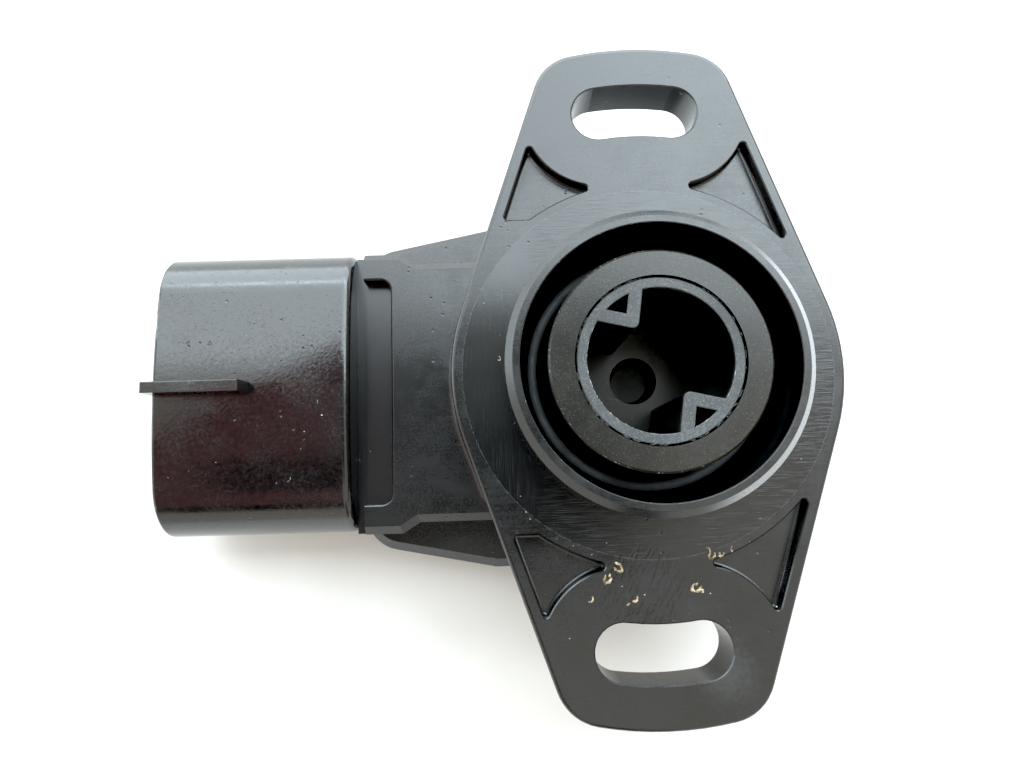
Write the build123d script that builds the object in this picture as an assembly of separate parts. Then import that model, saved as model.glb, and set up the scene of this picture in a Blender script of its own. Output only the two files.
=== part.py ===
from build123d import *

import math
import os

# Throttle position sensor, a rotary potentiometer for a throttle body.
# Millimetres. The origin lies on the rotor axis, in the face that bolts to the throttle body.
# +Z leaves that face towards the throttle body and the plug socket points along -X.

# Mounting flange
SLOT_PITCH = 44.0
SLOT_WIDTH = 4.5
SLOT_LENGTH = 10.6
FLANGE_THICK = 4.0
FLANGE_EDGE = 15.86
FLANGE_EDGE_ANGLE = 19.1
EAR_MARGIN = 5.65
EAR_CORNER = 4.0
FLANGE_EDGE_ROUND = 0.4
FLANGE_EDGE_BREAK = 0.09

# Lightening pockets in the flange face
POCKET_RIM = 1.0
SLOT_BOSS_WALL = 4.1
POCKET_DEPTH = 1.2
POCKET_CORNER = 0.3
POCKET_FLOOR_ROUND = 0.28
POCKET_NECK_Y = 12.7
POCKET_TIP_Y = 9.0

# Locating spigot
SPIGOT_RADIUS = 11.55
SPIGOT_WALL = 1.1
SPIGOT_HEIGHT = 4.9
SPIGOT_CHAMFER = 0.55
SPIGOT_INNER_CHAMFER = 0.08

# Barrel and rear pan
BODY_RADIUS = 16.55
PAN_HEIGHT = 5.8
PAN_CHAMFER = 0.8
PAN_SHOULDER_X = -12.8
PAN_END_HALF = 14.1
PAN_CORNER = 3.5
RIM_WALL = 1.7
FOOT_ROUND = 0.8

# Neck between the barrel and the plug socket
NECK_DROP = 3.3
NECK_OFFSET_Y = -0.13
NECK_HALF = 11.76
NECK_WIDE_HALF = 12.7
NECK_WIDE_LENGTH = 4.2
NECK_STEP_LENGTH = 1.5
NECK_CHAMFER = 0.7
GROOVE_WIDTH = 0.9
GROOVE_DEPTH = 1.9
WINDOW_LENGTH = 2.45
WINDOW_HALF = 10.1
WINDOW_DEPTH = 1.6
WINDOW_CORNER = 1.0
WINDOW_EDGE_ROUND = 0.22

# Plug socket
SHROUD_BACK_X = -25.0
SHROUD_LENGTH = 17.0
SHROUD_OFFSET_Y = 0.22
SHROUD_HALF = 12.9
SHROUD_HEIGHT = 11.7
SHROUD_RISE = 2.1
SHROUD_CROWN = 61.0
SHROUD_CORNER = 5.0
SHROUD_WALL = 1.4
SHROUD_BACK_ROUND = 0.7
SHROUD_MOUTH_ROUND = 0.3
SOCKET_DEPTH = 14.0
RIB_LENGTH = 8.1
RIB_THICK = 0.95
RIB_HEIGHT = 2.15
RIB_OFFSET_Y = 0.15
RIB_DRAFT = 0.35
RIB_EDGE_BREAK = 0.1
CATCH_WIDTH = 5.0
CATCH_LENGTH = 3.6
CATCH_HEIGHT = 1.2
CATCH_SETBACK = 5.0

# Stack below the mounting face, from the return spring down to the cover
SPRING_DEPTH = 3.5
BEARING_LENGTH = 5.7
END_PLAY = 0.08
DISC_THICK = 1.9
WIPER_DROP = 2.6
TRACK_THICK = 0.1
SUBSTRATE_THICK = 0.8
COVER_STANDOFF = 1.8
COVER_THICK = 1.6
COVER_RECESS = 0.3
SEAL_GAP = 0.7

# Rotor
TRAVEL_ANGLE = 100.0
STOP_SLACK_ANGLE = 0.6
DRUM_BELOW_SPIGOT = 0.12
DRUM_EDGE = 0.18
DRUM_WALL = 1.98
CUP_DEPTH = 12.0
BEARING_CLEARANCE = 0.04
DISC_RADIUS = 11.4
DISC_CLEARANCE = 0.3
LUG_REACH = 1.0
LUG_ANGLE = 12.0
HUB_RADIUS = 4.2
HUB_LENGTH = 1.2

# Drive sleeve, with two hollow V-shaped tangs that grip the throttle shaft
SLEEVE_CLEARANCE = 0.15
SLEEVE_WALL = 0.76
SLEEVE_RECESS = 0.15
SLEEVE_EDGE_BREAK = 0.06
TANG_APEX = 2.8
TANG_ANGLE = 85.5
TANG_WALL = 1.0
TANG_TIP_ROUND = 0.5
TANG_DIRECTION_ANGLE = 124.0

# Return spring
WIRE_RADIUS = 0.37
COIL_OUTER_GAP = 0.75
COIL_INNER_GAP = 0.58
COIL_HALF_TURNS = 5
COIL_PITCH = 0.85
LEG_SHARE = 0.94
LEG_CLEARANCE = 0.12
LEG_BITE = 0.55
ROTOR_LEG_ANGLE = 50.0
SPRING_SEAT_GAP = 0.02

# Pivot and spring washer
PIVOT_RADIUS = 2.05
PIVOT_CLEARANCE = 0.05
PIVOT_TIP_DEPTH = 2.6
PIVOT_SOCKET = 2.2
PIVOT_CHAMFER = 0.4
WASHER_WALL = 0.3
WASHER_RIM = 3.8
WASHER_GAP = 0.05
PIVOT_BOSS_RADIUS = 3.9

# Resistor plate
PLATE_LEDGE = 0.6
SUBSTRATE_CLEARANCE = 0.2
SUBSTRATE_HOLE_CLEARANCE = 0.4
TAIL_REACH = 17.2
TAIL_HALF = 7.8
TRACK_INSET = 2.2
TRACK_STEP = 3.0
TRACK_WIDTH = 1.8
TRACK_OVERRUN_ANGLE = 6.0
TRACE_WIDTH = 1.0
PAD_LENGTH = 1.8
PAD_WIDTH = 2.2
POST_RADIUS = 1.2
POST_CIRCLE = 11.0

# Contact wiper
WIPER_SHEET = 0.25
WIPER_ARM_WIDTH = 1.3
WIPER_ARM_SHARE = 1 / 3
WIPER_PLATE_LENGTH = 1.8
WIPER_PLATE_MARGIN = 0.7
WIPER_CONTACT_GAP = 0.05
STAKE_RADIUS = 0.5
STAKE_CLEARANCE = 0.05
STAKE_HEIGHT = 0.45

# Terminals and the leads that join them to the plate
TERMINAL_PITCH = 6.0
TERMINAL_WIDTH = 2.3
TERMINAL_THICK = 0.64
TERMINAL_DEPTH = 6.8
TERMINAL_TIP_X = 2.4
TERMINAL_TIP_TAPER = 1.0
TERMINAL_PAD_LENGTH = 3.2
TAIL_WALL_X = 3.6
TAIL_CAVITY_MARGIN = 1.4
LEAD_SHEET = 0.3
LEAD_WIDTH = 1.6
LEAD_FOOT = 1.4
LEAD_HEAD = 2.2

# Levels and radii that follow from the sizes above
BORE_RADIUS = SPIGOT_RADIUS - SPIGOT_WALL
COIL_RADIUS = BORE_RADIUS - COIL_OUTER_GAP - WIRE_RADIUS
DRUM_RADIUS = COIL_RADIUS - WIRE_RADIUS - COIL_INNER_GAP
CUP_RADIUS = DRUM_RADIUS - DRUM_WALL
TRACK_RADIUS = DISC_RADIUS - TRACK_INSET
COLLECTOR_RADIUS = TRACK_RADIUS - TRACK_STEP
SUBSTRATE_RADIUS = DISC_RADIUS + LUG_REACH + PLATE_LEDGE
WIPER_ARM_LENGTH = DISC_RADIUS * WIPER_ARM_SHARE
Z_SPRING = -SPRING_DEPTH
Z_WEB = Z_SPRING - BEARING_LENGTH
Z_DISC = Z_WEB - END_PLAY
Z_DISC_BACK = Z_DISC - DISC_THICK
Z_HUB = Z_DISC_BACK - HUB_LENGTH
Z_TRACK = Z_DISC_BACK - WIPER_DROP
Z_PLATE = Z_TRACK - TRACK_THICK
Z_PLATE_BACK = Z_PLATE - SUBSTRATE_THICK
Z_LEDGE = Z_PLATE_BACK - COVER_STANDOFF
Z_COVER_BACK = Z_LEDGE - COVER_THICK
Z_BACK = Z_COVER_BACK - COVER_RECESS
Z_PAN = Z_BACK + PAN_HEIGHT
Z_NECK = -FLANGE_THICK - NECK_DROP
Z_SHROUD = Z_NECK + SHROUD_RISE
Z_TERMINAL = Z_SHROUD - TERMINAL_DEPTH
Z_DRUM_TOP = SPIGOT_HEIGHT - DRUM_BELOW_SPIGOT
Z_CUP = Z_DRUM_TOP - CUP_DEPTH
Z_BOSS = Z_HUB - WASHER_GAP - 2 * WASHER_WALL
MOUTH_X = SHROUD_BACK_X - SHROUD_LENGTH
TAIL_CAVITY_X = SHROUD_BACK_X + TAIL_WALL_X
TAIL_CAVITY_HALF = TERMINAL_PITCH + TERMINAL_WIDTH / 2 + TAIL_CAVITY_MARGIN
REST_ANGLE = -TRAVEL_ANGLE / 2
SLEEVE_RADIUS = CUP_RADIUS - SLEEVE_CLEARANCE
SLOT_RADIUS = SLOT_PITCH / 2
EAR_REACH = SLOT_RADIUS + EAR_MARGIN
POCKET_INNER_RADIUS = SLOT_RADIUS - SLOT_WIDTH / 2 - SLOT_BOSS_WALL
SLOT_HALF_ANGLE = math.degrees(math.asin((SLOT_LENGTH - SLOT_WIDTH) / SLOT_PITCH))
TERMINALS = {"supply": TERMINAL_PITCH, "signal": 0.0, "ground": -TERMINAL_PITCH}


def slab(sketch, low, high):
    """A flat sketch made solid from one level to another."""
    return extrude(Pos(0, 0, low) * sketch, amount=high - low, dir=(0, 0, 1))


def run_along_x(sketch, start, length):
    """A cross section drawn in Y and Z, made solid along +X from a starting place."""
    return extrude(Plane.YZ.offset(start) * sketch, amount=length, dir=(1, 0, 0))


def disc(radius, low, high):
    """A round plug on the rotor axis."""
    return slab(Circle(radius), low, high)


def side_slab(points, width, y=0.0):
    """An outline given in X and Z, made solid across Y about a centre line."""
    outline = Polygon(*points, align=None)
    return Pos(0, y, 0) * extrude(Plane.XZ * outline, amount=width / 2, both=True)


def sector(radius, start, end):
    """A pie slice of a circle, between two angles in degrees."""
    arc = CenterArc((0, 0), radius, start, end - start)
    return make_face([arc, Line((0, 0), arc @ 0), Line(arc @ 1, (0, 0))])


def arc_band(radius, width, start, end):
    """A strip of constant width along an arc about the rotor axis."""
    ring = sector(radius + width / 2, start, end)
    return ring - Circle(radius - width / 2)


def polar(radius, angle):
    """A point at a radius and an angle in degrees about the rotor axis."""
    return (radius * math.cos(math.radians(angle)), radius * math.sin(math.radians(angle)))


def flange_outline():
    """Long diamond, round about the rotor axis at its waist and cut off round at both ears."""
    half_width = FLANGE_EDGE / math.cos(math.radians(FLANGE_EDGE_ANGLE))
    half_length = FLANGE_EDGE / math.sin(math.radians(FLANGE_EDGE_ANGLE))
    tips = [(half_width, 0), (0, half_length), (-half_width, 0), (0, -half_length)]
    outline = Polygon(*tips, align=None) & Circle(EAR_REACH)
    waist = outline.vertices().filter_by(lambda v: abs(v.Y) < SLOT_RADIUS / 2)
    outline = fillet(waist, FLANGE_EDGE)
    ears = outline.vertices().filter_by(lambda v: abs(v.Y) > SLOT_RADIUS)
    return fillet(ears, EAR_CORNER)


def pan_outline():
    """Round about the rotor axis, with straight flanks that taper towards the socket."""
    half = [(0, BODY_RADIUS), (PAN_SHOULDER_X, BODY_RADIUS), (SHROUD_BACK_X, PAN_END_HALF)]
    other = [(x, -y) for x, y in reversed(half)]
    flanks = Polygon(*half, *other, align=None)
    ends = flanks.vertices().filter_by(lambda v: abs(v.X - SHROUD_BACK_X) < PAN_CORNER / 2)
    return fillet(ends, PAN_CORNER) + Circle(BODY_RADIUS)


def neck_outline():
    """The neck seen from above: wide beside the socket, stepped in towards the barrel."""
    wide_end = SHROUD_BACK_X + NECK_WIDE_LENGTH
    half = [
        (0, NECK_HALF),
        (wide_end + NECK_STEP_LENGTH, NECK_HALF),
        (wide_end, NECK_WIDE_HALF),
        (SHROUD_BACK_X, NECK_WIDE_HALF),
    ]
    other = [(x, -y) for x, y in reversed(half)]
    return Pos(0, NECK_OFFSET_Y) * Polygon(*half, *other, align=None)


def shroud_profile():
    """Cross section of the socket: a crowned oblong with round corners, in Y and Z."""
    sag = SHROUD_CROWN - math.sqrt(SHROUD_CROWN**2 - SHROUD_HALF**2)
    low = Z_SHROUD - SHROUD_HEIGHT
    shoulder = Z_SHROUD - sag
    foot = low + sag
    crown = ThreePointArc((-SHROUD_HALF, shoulder), (0, Z_SHROUD), (SHROUD_HALF, shoulder))
    right = Line((SHROUD_HALF, shoulder), (SHROUD_HALF, foot))
    belly = ThreePointArc((SHROUD_HALF, foot), (0, low), (-SHROUD_HALF, foot))
    left = Line((-SHROUD_HALF, foot), (-SHROUD_HALF, shoulder))
    face = Sketch() + make_face([crown, right, belly, left])
    return Pos(SHROUD_OFFSET_Y, 0) * fillet(face.vertices(), SHROUD_CORNER)


def slot_sketch():
    """Both mounting slots, curved about the rotor axis so that the sensor can be turned."""
    slots = Sketch()
    for middle in (90.0, 270.0):
        arc = CenterArc((0, 0), SLOT_RADIUS, middle - SLOT_HALF_ANGLE, 2 * SLOT_HALF_ANGLE)
        slots += SlotArc(arc, SLOT_WIDTH)
    return slots


def pocket_sketch(flange):
    """Four pockets between the flange's rim, the slot bosses and the spigot's land."""
    field = offset(flange, amount=-POCKET_RIM) - Circle(POCKET_INNER_RADIUS)
    for middle in (90.0, 270.0):
        for end in (middle - SLOT_HALF_ANGLE, middle + SLOT_HALF_ANGLE):
            field -= Pos(*polar(SLOT_RADIUS, end)) * Circle(SLOT_WIDTH / 2 + SLOT_BOSS_WALL)
    field -= Pos(-EAR_REACH / 2, 0) * Rectangle(EAR_REACH, 2 * POCKET_NECK_Y)
    field -= Pos(EAR_REACH / 2, 0) * Rectangle(EAR_REACH, 2 * POCKET_TIP_Y)
    clear_of_slots = polar(SLOT_RADIUS, 90.0 - SLOT_HALF_ANGLE)[0]
    pockets = Sketch()
    for region in field.faces().filter_by(lambda f: abs(f.center().X) > clear_of_slots):
        corners = Sketch() + region
        pockets += fillet(corners.vertices(), POCKET_CORNER)
    return pockets


def make_flange():
    """The slotted, pocketed mounting plate."""
    outline = flange_outline()
    plate = slab(outline, -FLANGE_THICK, 0)
    plate = fillet(plate.edges().group_by(Axis.Z)[-1], FLANGE_EDGE_ROUND)
    pockets = slab(pocket_sketch(outline), -POCKET_DEPTH, FLANGE_THICK)
    plate -= fillet(pockets.edges().group_by(Axis.Z)[0], POCKET_FLOOR_ROUND)
    plate -= slab(slot_sketch(), -2 * FLANGE_THICK, FLANGE_THICK)
    face = plate.faces().sort_by(Axis.Z)[-1]
    rims = [edge for wire in face.inner_wires() for edge in wire.edges()]
    return chamfer(rims, FLANGE_EDGE_BREAK)


def make_neck():
    """The block that carries the terminals, with its bevelled top edges."""
    neck = slab(neck_outline(), Z_BACK + PAN_HEIGHT / 2, Z_NECK)
    rims = neck.edges().group_by(Axis.Z)[-1]
    flanks = rims.filter_by(lambda e: abs(e.center().Y) > NECK_HALF / 2)
    return chamfer(flanks, NECK_CHAMFER)


def neck_cuts():
    """The groove behind the socket and the shallow window in the neck's top."""
    groove_end = SHROUD_BACK_X + GROOVE_WIDTH
    window_end = groove_end + WINDOW_LENGTH
    span = 2 * NECK_WIDE_HALF + NECK_WIDE_LENGTH
    groove = Pos(SHROUD_BACK_X + GROOVE_WIDTH / 2, 0) * Rectangle(GROOVE_WIDTH, span)
    window = Pos((SHROUD_BACK_X + window_end) / 2, NECK_OFFSET_Y) * Rectangle(
        window_end - SHROUD_BACK_X, 2 * WINDOW_HALF
    )
    inner = window.vertices().filter_by(lambda v: v.X > groove_end)
    window = fillet(inner, WINDOW_CORNER)
    cut = slab(groove, Z_NECK - GROOVE_DEPTH, Z_NECK + FLANGE_THICK)
    return cut + slab(window, Z_NECK - WINDOW_DEPTH, Z_NECK + FLANGE_THICK)


def round_window(body):
    """The window's rim with its sharp edge taken off."""
    groove_end = SHROUD_BACK_X + GROOVE_WIDTH
    window_end = groove_end + WINDOW_LENGTH
    rims = body.edges().filter_by(lambda e: abs(e.center().Z - Z_NECK) < WINDOW_EDGE_ROUND / 2)
    near = rims.filter_by(lambda e: groove_end < e.center().X < window_end + WINDOW_EDGE_ROUND / 2)
    middle = near.filter_by(lambda e: abs(e.center().Y - NECK_OFFSET_Y) < WINDOW_HALF + WINDOW_EDGE_ROUND)
    return fillet(middle, WINDOW_EDGE_ROUND)


def make_shroud():
    """The plug socket, with its guide rib above and its catch below."""
    profile = shroud_profile()
    shroud = run_along_x(profile, MOUTH_X, SHROUD_LENGTH)
    shroud = fillet(shroud.edges().group_by(Axis.X)[-1], SHROUD_BACK_ROUND)
    shroud = fillet(shroud.edges().group_by(Axis.X)[0], SHROUD_MOUTH_ROUND)
    inside = offset(profile, amount=-SHROUD_WALL)
    shroud -= run_along_x(inside, MOUTH_X, SOCKET_DEPTH)
    root = Z_SHROUD - SHROUD_WALL / 2
    rib_end = MOUTH_X + RIB_LENGTH
    rib = [
        (MOUTH_X + SHROUD_MOUTH_ROUND, root),
        (MOUTH_X + SHROUD_MOUTH_ROUND, Z_SHROUD - SHROUD_MOUTH_ROUND),
        (MOUTH_X, Z_SHROUD - SHROUD_MOUTH_ROUND),
        (MOUTH_X, Z_SHROUD + RIB_HEIGHT),
        (rib_end, Z_SHROUD + RIB_HEIGHT),
        (rib_end + RIB_DRAFT, root),
    ]
    rib = side_slab(rib, RIB_THICK, RIB_OFFSET_Y)
    shroud += chamfer(rib.edges().group_by(Axis.Z)[-1], RIB_EDGE_BREAK)
    belly = Z_SHROUD - SHROUD_HEIGHT
    catch_x = MOUTH_X + CATCH_SETBACK
    catch = [
        (catch_x, belly + SHROUD_WALL / 2),
        (catch_x, belly),
        (catch_x + CATCH_LENGTH * 0.7, belly - CATCH_HEIGHT),
        (catch_x + CATCH_LENGTH, belly - CATCH_HEIGHT),
        (catch_x + CATCH_LENGTH, belly + SHROUD_WALL / 2),
    ]
    return shroud + side_slab(catch, CATCH_WIDTH)


def make_deck(barrel_outline, low):
    """The neck's top where the barrel rises from it with a rounded foot."""
    deck = slab(Rectangle(4 * BODY_RADIUS, 4 * BODY_RADIUS), low, Z_NECK)
    deck += slab(barrel_outline, low, -FLANGE_THICK)
    rims = deck.edges().filter_by(lambda e: abs(e.center().Z - Z_NECK) < FOOT_ROUND / 2)
    foot = rims.filter_by(lambda e: math.hypot(e.center().X, e.center().Y) < 1.5 * BODY_RADIUS)
    return fillet(foot, FOOT_ROUND)


def make_body():
    """Flange, barrel, pan and neck as one block."""
    low = Z_BACK + PAN_HEIGHT / 2
    barrel_outline = flange_outline() & Circle(BODY_RADIUS)
    neck_top = offset(neck_outline(), amount=-NECK_CHAMFER)
    room = make_neck() + slab(neck_top, Z_NECK, Z_NECK + FOOT_ROUND)
    room += slab(barrel_outline, low, -FLANGE_THICK)
    pan = slab(pan_outline(), Z_BACK, Z_PAN)
    pan = chamfer(pan.edges().group_by(Axis.Z)[-1], PAN_CHAMFER)
    return (make_deck(barrel_outline, low) & room) + pan + make_flange()


def chamber_sketch():
    """Room for the rotor's disc, widened where its stop lug swings."""
    swing = (LUG_ANGLE + TRAVEL_ANGLE) / 2 + STOP_SLACK_ANGLE
    room = Circle(DISC_RADIUS + DISC_CLEARANCE)
    return room + sector(DISC_RADIUS + LUG_REACH + DISC_CLEARANCE, -swing, swing)


def plate_sketch(radius, tail_reach, tail_half):
    """The resistor plate's outline: round, with a tail towards the terminals."""
    tail = Pos(-tail_reach / 2, 0) * Rectangle(tail_reach, 2 * tail_half)
    return Circle(radius) + tail


def housing_voids():
    """Everything that is hollow inside the housing."""
    roof = Z_TERMINAL + TERMINAL_THICK / 2 + LEAD_SHEET
    tail = Pos(TAIL_CAVITY_X / 2, 0) * Rectangle(-TAIL_CAVITY_X, 2 * TAIL_CAVITY_HALF)
    wall_side = tail - Circle(DISC_RADIUS + DISC_CLEARANCE)
    plate_room = plate_sketch(
        SUBSTRATE_RADIUS + SUBSTRATE_CLEARANCE, -TAIL_CAVITY_X, TAIL_CAVITY_HALF
    )
    voids = disc(BORE_RADIUS, Z_SPRING, SPIGOT_HEIGHT)
    voids += disc(DRUM_RADIUS + BEARING_CLEARANCE, Z_WEB, Z_SPRING)
    voids += slab(chamber_sketch(), Z_PLATE, Z_WEB)
    voids += slab(wall_side, Z_PLATE, roof)
    voids += slab(plate_room, Z_LEDGE, Z_PLATE)
    voids += slab(offset(pan_outline(), amount=-RIM_WALL), Z_BACK, Z_LEDGE)
    return voids + leg_slot(BORE_RADIUS - WIRE_RADIUS, BORE_RADIUS + LEG_BITE, housing_leg())


def coil_bottom():
    """Height of the wire's centre where the spring sits on the web."""
    return Z_SPRING + SPRING_SEAT_GAP + WIRE_RADIUS


def coil_top():
    """Height of the wire's centre at the rotor's end of the spring."""
    return coil_bottom() + COIL_PITCH * COIL_HALF_TURNS / 2


def housing_leg():
    """Angle and height of the spring leg that is held by the housing."""
    return ROTOR_LEG_ANGLE - 180 * COIL_HALF_TURNS, coil_bottom()


def leg_slot(inner, outer, place):
    """Room for a radial spring leg between two radii, at an angle and a height."""
    angle, height = place
    half = WIRE_RADIUS + LEG_CLEARANCE
    block = Pos((inner + outer) / 2, 0, height) * Box(outer - inner, 2 * half, 2 * half)
    return Rot(0, 0, angle) * block


def make_housing():
    """The one-piece moulding: flange, spigot, barrel, pan, neck and plug socket."""
    housing = round_window(make_body() - neck_cuts())
    housing += make_shroud()
    spigot = disc(SPIGOT_RADIUS, -FLANGE_THICK / 2, SPIGOT_HEIGHT)
    housing += chamfer(spigot.edges().group_by(Axis.Z)[-1], SPIGOT_CHAMFER)
    housing -= housing_voids()
    lip = housing.edges().filter_by(GeomType.CIRCLE).group_by(Axis.Z)[-1]
    inner = lip.filter_by(lambda e: abs(e.radius - BORE_RADIUS) < SPIGOT_INNER_CHAMFER)
    housing = chamfer(inner, SPIGOT_INNER_CHAMFER)
    for y in TERMINALS.values():
        housing -= make_terminal(y)
    return housing


def make_rotor_drum():
    """The turned-down drum, its journal, the wiper disc with its stop lug, and the hub."""
    half_profile = [
        (PIVOT_RADIUS + PIVOT_CLEARANCE, Z_HUB),
        (HUB_RADIUS, Z_HUB),
        (HUB_RADIUS, Z_DISC_BACK),
        (DISC_RADIUS, Z_DISC_BACK),
        (DISC_RADIUS, Z_DISC),
        (DRUM_RADIUS, Z_DISC),
        (DRUM_RADIUS, Z_DRUM_TOP - DRUM_EDGE),
        (DRUM_RADIUS - DRUM_EDGE, Z_DRUM_TOP),
        (CUP_RADIUS, Z_DRUM_TOP),
        (CUP_RADIUS, Z_CUP),
        (PIVOT_RADIUS + PIVOT_CLEARANCE, Z_CUP),
    ]
    drum = revolve(Plane.XZ * Polygon(*half_profile, align=None), Axis.Z)
    lug = sector(DISC_RADIUS + LUG_REACH, REST_ANGLE - LUG_ANGLE / 2, REST_ANGLE + LUG_ANGLE / 2)
    lug -= Circle(HUB_RADIUS)
    drum += slab(lug, Z_DISC_BACK, Z_DISC)
    stakes = Sketch() + [Pos(*place) * Circle(STAKE_RADIUS) for place in stake_places()]
    drum += wiper_frame() * slab(stakes, Z_DISC_BACK - STAKE_HEIGHT, Z_DISC_BACK)
    place = (ROTOR_LEG_ANGLE, coil_top())
    return drum - leg_slot(DRUM_RADIUS - LEG_BITE, DRUM_RADIUS + WIRE_RADIUS, place)


def make_drive_sleeve():
    """Sleeve in the rotor's cup; its two tangs take the flats of the throttle shaft."""
    bore = SLEEVE_RADIUS - SLEEVE_WALL
    spread = math.radians(TANG_ANGLE / 2)
    hollow_apex = TANG_APEX + TANG_WALL / math.sin(spread)
    ring = Circle(SLEEVE_RADIUS) - Circle(bore)
    for direction in (TANG_DIRECTION_ANGLE, TANG_DIRECTION_ANGLE + 180):
        wedge = wedge_sketch(TANG_APEX, spread)
        tip = wedge.vertices().sort_by(Axis.X)[0]
        solid_v = fillet(tip, TANG_TIP_ROUND) & Circle(bore + SLEEVE_WALL / 2)
        hollow = wedge_sketch(hollow_apex, spread) & Circle(bore)
        ring += Rot(0, 0, direction) * (solid_v - hollow)
    sleeve = slab(ring, Z_CUP, Z_DRUM_TOP - SLEEVE_RECESS)
    return chamfer(sleeve.edges().group_by(Axis.Z)[-1], SLEEVE_EDGE_BREAK)


def wedge_sketch(apex, spread):
    """A wide V that opens outwards along X from its apex."""
    reach = SLEEVE_RADIUS
    side = (apex + reach * math.cos(spread), reach * math.sin(spread))
    return Polygon((apex, 0), (side[0], -side[1]), side, align=None)


def half_turn(index):
    """Half a turn of the coil: a tilted piece of a ring that meets the next one smoothly."""
    rise = COIL_PITCH / 2
    radius = math.hypot(COIL_RADIUS, rise / 2)
    tilt = math.degrees(math.atan2(rise / 2, COIL_RADIUS))
    ring = revolve(Plane.XZ * Pos(radius, 0) * Circle(WIRE_RADIUS), Axis.Z, 180)
    return Pos(0, 0, rise * (index + 0.5)) * Rot(0, 0, 180 * index) * Rot(0, tilt, 0) * ring


def make_return_spring():
    """Torsion coil round the drum, one leg held by the drum and one by the housing."""
    angle, height = housing_leg()
    spring = Part() + [half_turn(index) for index in range(COIL_HALF_TURNS)]
    spring = Pos(0, 0, height) * Rot(0, 0, angle) * spring
    outer_end = BORE_RADIUS + LEG_BITE - LEG_CLEARANCE
    inner_end = DRUM_RADIUS - LEG_BITE + LEG_CLEARANCE
    outer = spring_leg(COIL_RADIUS, outer_end, housing_leg())
    inner = spring_leg(inner_end, COIL_RADIUS, (ROTOR_LEG_ANGLE, coil_top()))
    return spring + outer + inner


def spring_leg(inner, outer, place):
    """A straight radial end of the spring wire."""
    angle, height = place
    rod = run_along_x(Circle(WIRE_RADIUS * LEG_SHARE), inner, outer - inner)
    return Pos(0, 0, height) * Rot(0, 0, angle) * rod


def make_pivot_pin():
    """Steel pin, pressed into the cover, that steadies the rotor's hub."""
    tip = Z_CUP - PIVOT_TIP_DEPTH
    pin = disc(PIVOT_RADIUS, Z_LEDGE - COVER_THICK + PIVOT_SOCKET - COVER_THICK / 2, tip)
    return chamfer(pin.edges().group_by(Axis.Z)[-1], PIVOT_CHAMFER)


def make_spring_washer():
    """Conical washer that takes up the rotor's end play."""
    inner = PIVOT_RADIUS + PIVOT_CLEARANCE
    profile = [
        (inner, Z_BOSS + WASHER_WALL),
        (WASHER_RIM, Z_BOSS),
        (WASHER_RIM, Z_BOSS + WASHER_WALL),
        (inner, Z_BOSS + 2 * WASHER_WALL),
    ]
    return revolve(Plane.XZ * Polygon(*profile, align=None), Axis.Z)


def make_rear_cover():
    """Flat lid with the pivot boss and the posts that press the resistor plate home."""
    outline = offset(pan_outline(), amount=-RIM_WALL - SEAL_GAP)
    cover = slab(outline, Z_COVER_BACK, Z_LEDGE)
    cover += disc(PIVOT_BOSS_RADIUS, Z_LEDGE, Z_BOSS)
    for angle in (45, 135, 225, 315):
        post = Pos(*polar(POST_CIRCLE, angle)) * Circle(POST_RADIUS)
        cover += slab(post, Z_LEDGE, Z_PLATE_BACK)
    return cover - make_pivot_pin()


def make_cover_sealant():
    """Bead of sealant in the groove between the cover and the pan's rim."""
    groove = offset(pan_outline(), amount=-RIM_WALL)
    return slab(groove - offset(pan_outline(), amount=-RIM_WALL - SEAL_GAP), Z_COVER_BACK, Z_LEDGE)


def make_substrate():
    """Glass-epoxy plate that carries the printed tracks."""
    outline = plate_sketch(SUBSTRATE_RADIUS, TAIL_REACH, TAIL_HALF)
    outline -= Circle(PIVOT_BOSS_RADIUS + SUBSTRATE_HOLE_CLEARANCE)
    return slab(outline, Z_PLATE_BACK, Z_PLATE)


def track_sketch(radius):
    """A printed arc under the whole sweep of the wiper."""
    reach = TRAVEL_ANGLE / 2 + TRACK_OVERRUN_ANGLE
    return arc_band(radius, TRACK_WIDTH, -reach, reach)


def trace_sketch(y):
    """A printed conductor from a track to the pad under one terminal's lead."""
    reach = TRAVEL_ANGLE / 2 + TRACK_OVERRUN_ANGLE
    pad_x = PAD_LENGTH / 2 - TAIL_REACH + TRACE_WIDTH / 4
    if y:
        side = math.copysign(1, y)
        start = polar(TRACK_RADIUS, side * reach)
        route = [start, polar(TRACK_RADIUS, side * 90), polar(TRACK_RADIUS, side * 132), (pad_x, y)]
    else:
        start = polar(COLLECTOR_RADIUS, -reach)
        route = [start, polar(COLLECTOR_RADIUS, -100), polar(COLLECTOR_RADIUS, -150), (pad_x, y)]
    path = trace(Polyline(*route), TRACE_WIDTH)
    return path + Pos(pad_x, y) * Rectangle(PAD_LENGTH, PAD_WIDTH)


def make_trace(y):
    """One printed conductor, ended flush against the track that it feeds."""
    printed = slab(trace_sketch(y), Z_PLATE, Z_TRACK)
    for radius in (TRACK_RADIUS, COLLECTOR_RADIUS):
        printed -= slab(track_sketch(radius), Z_PLATE, Z_TRACK)
    return printed


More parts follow.
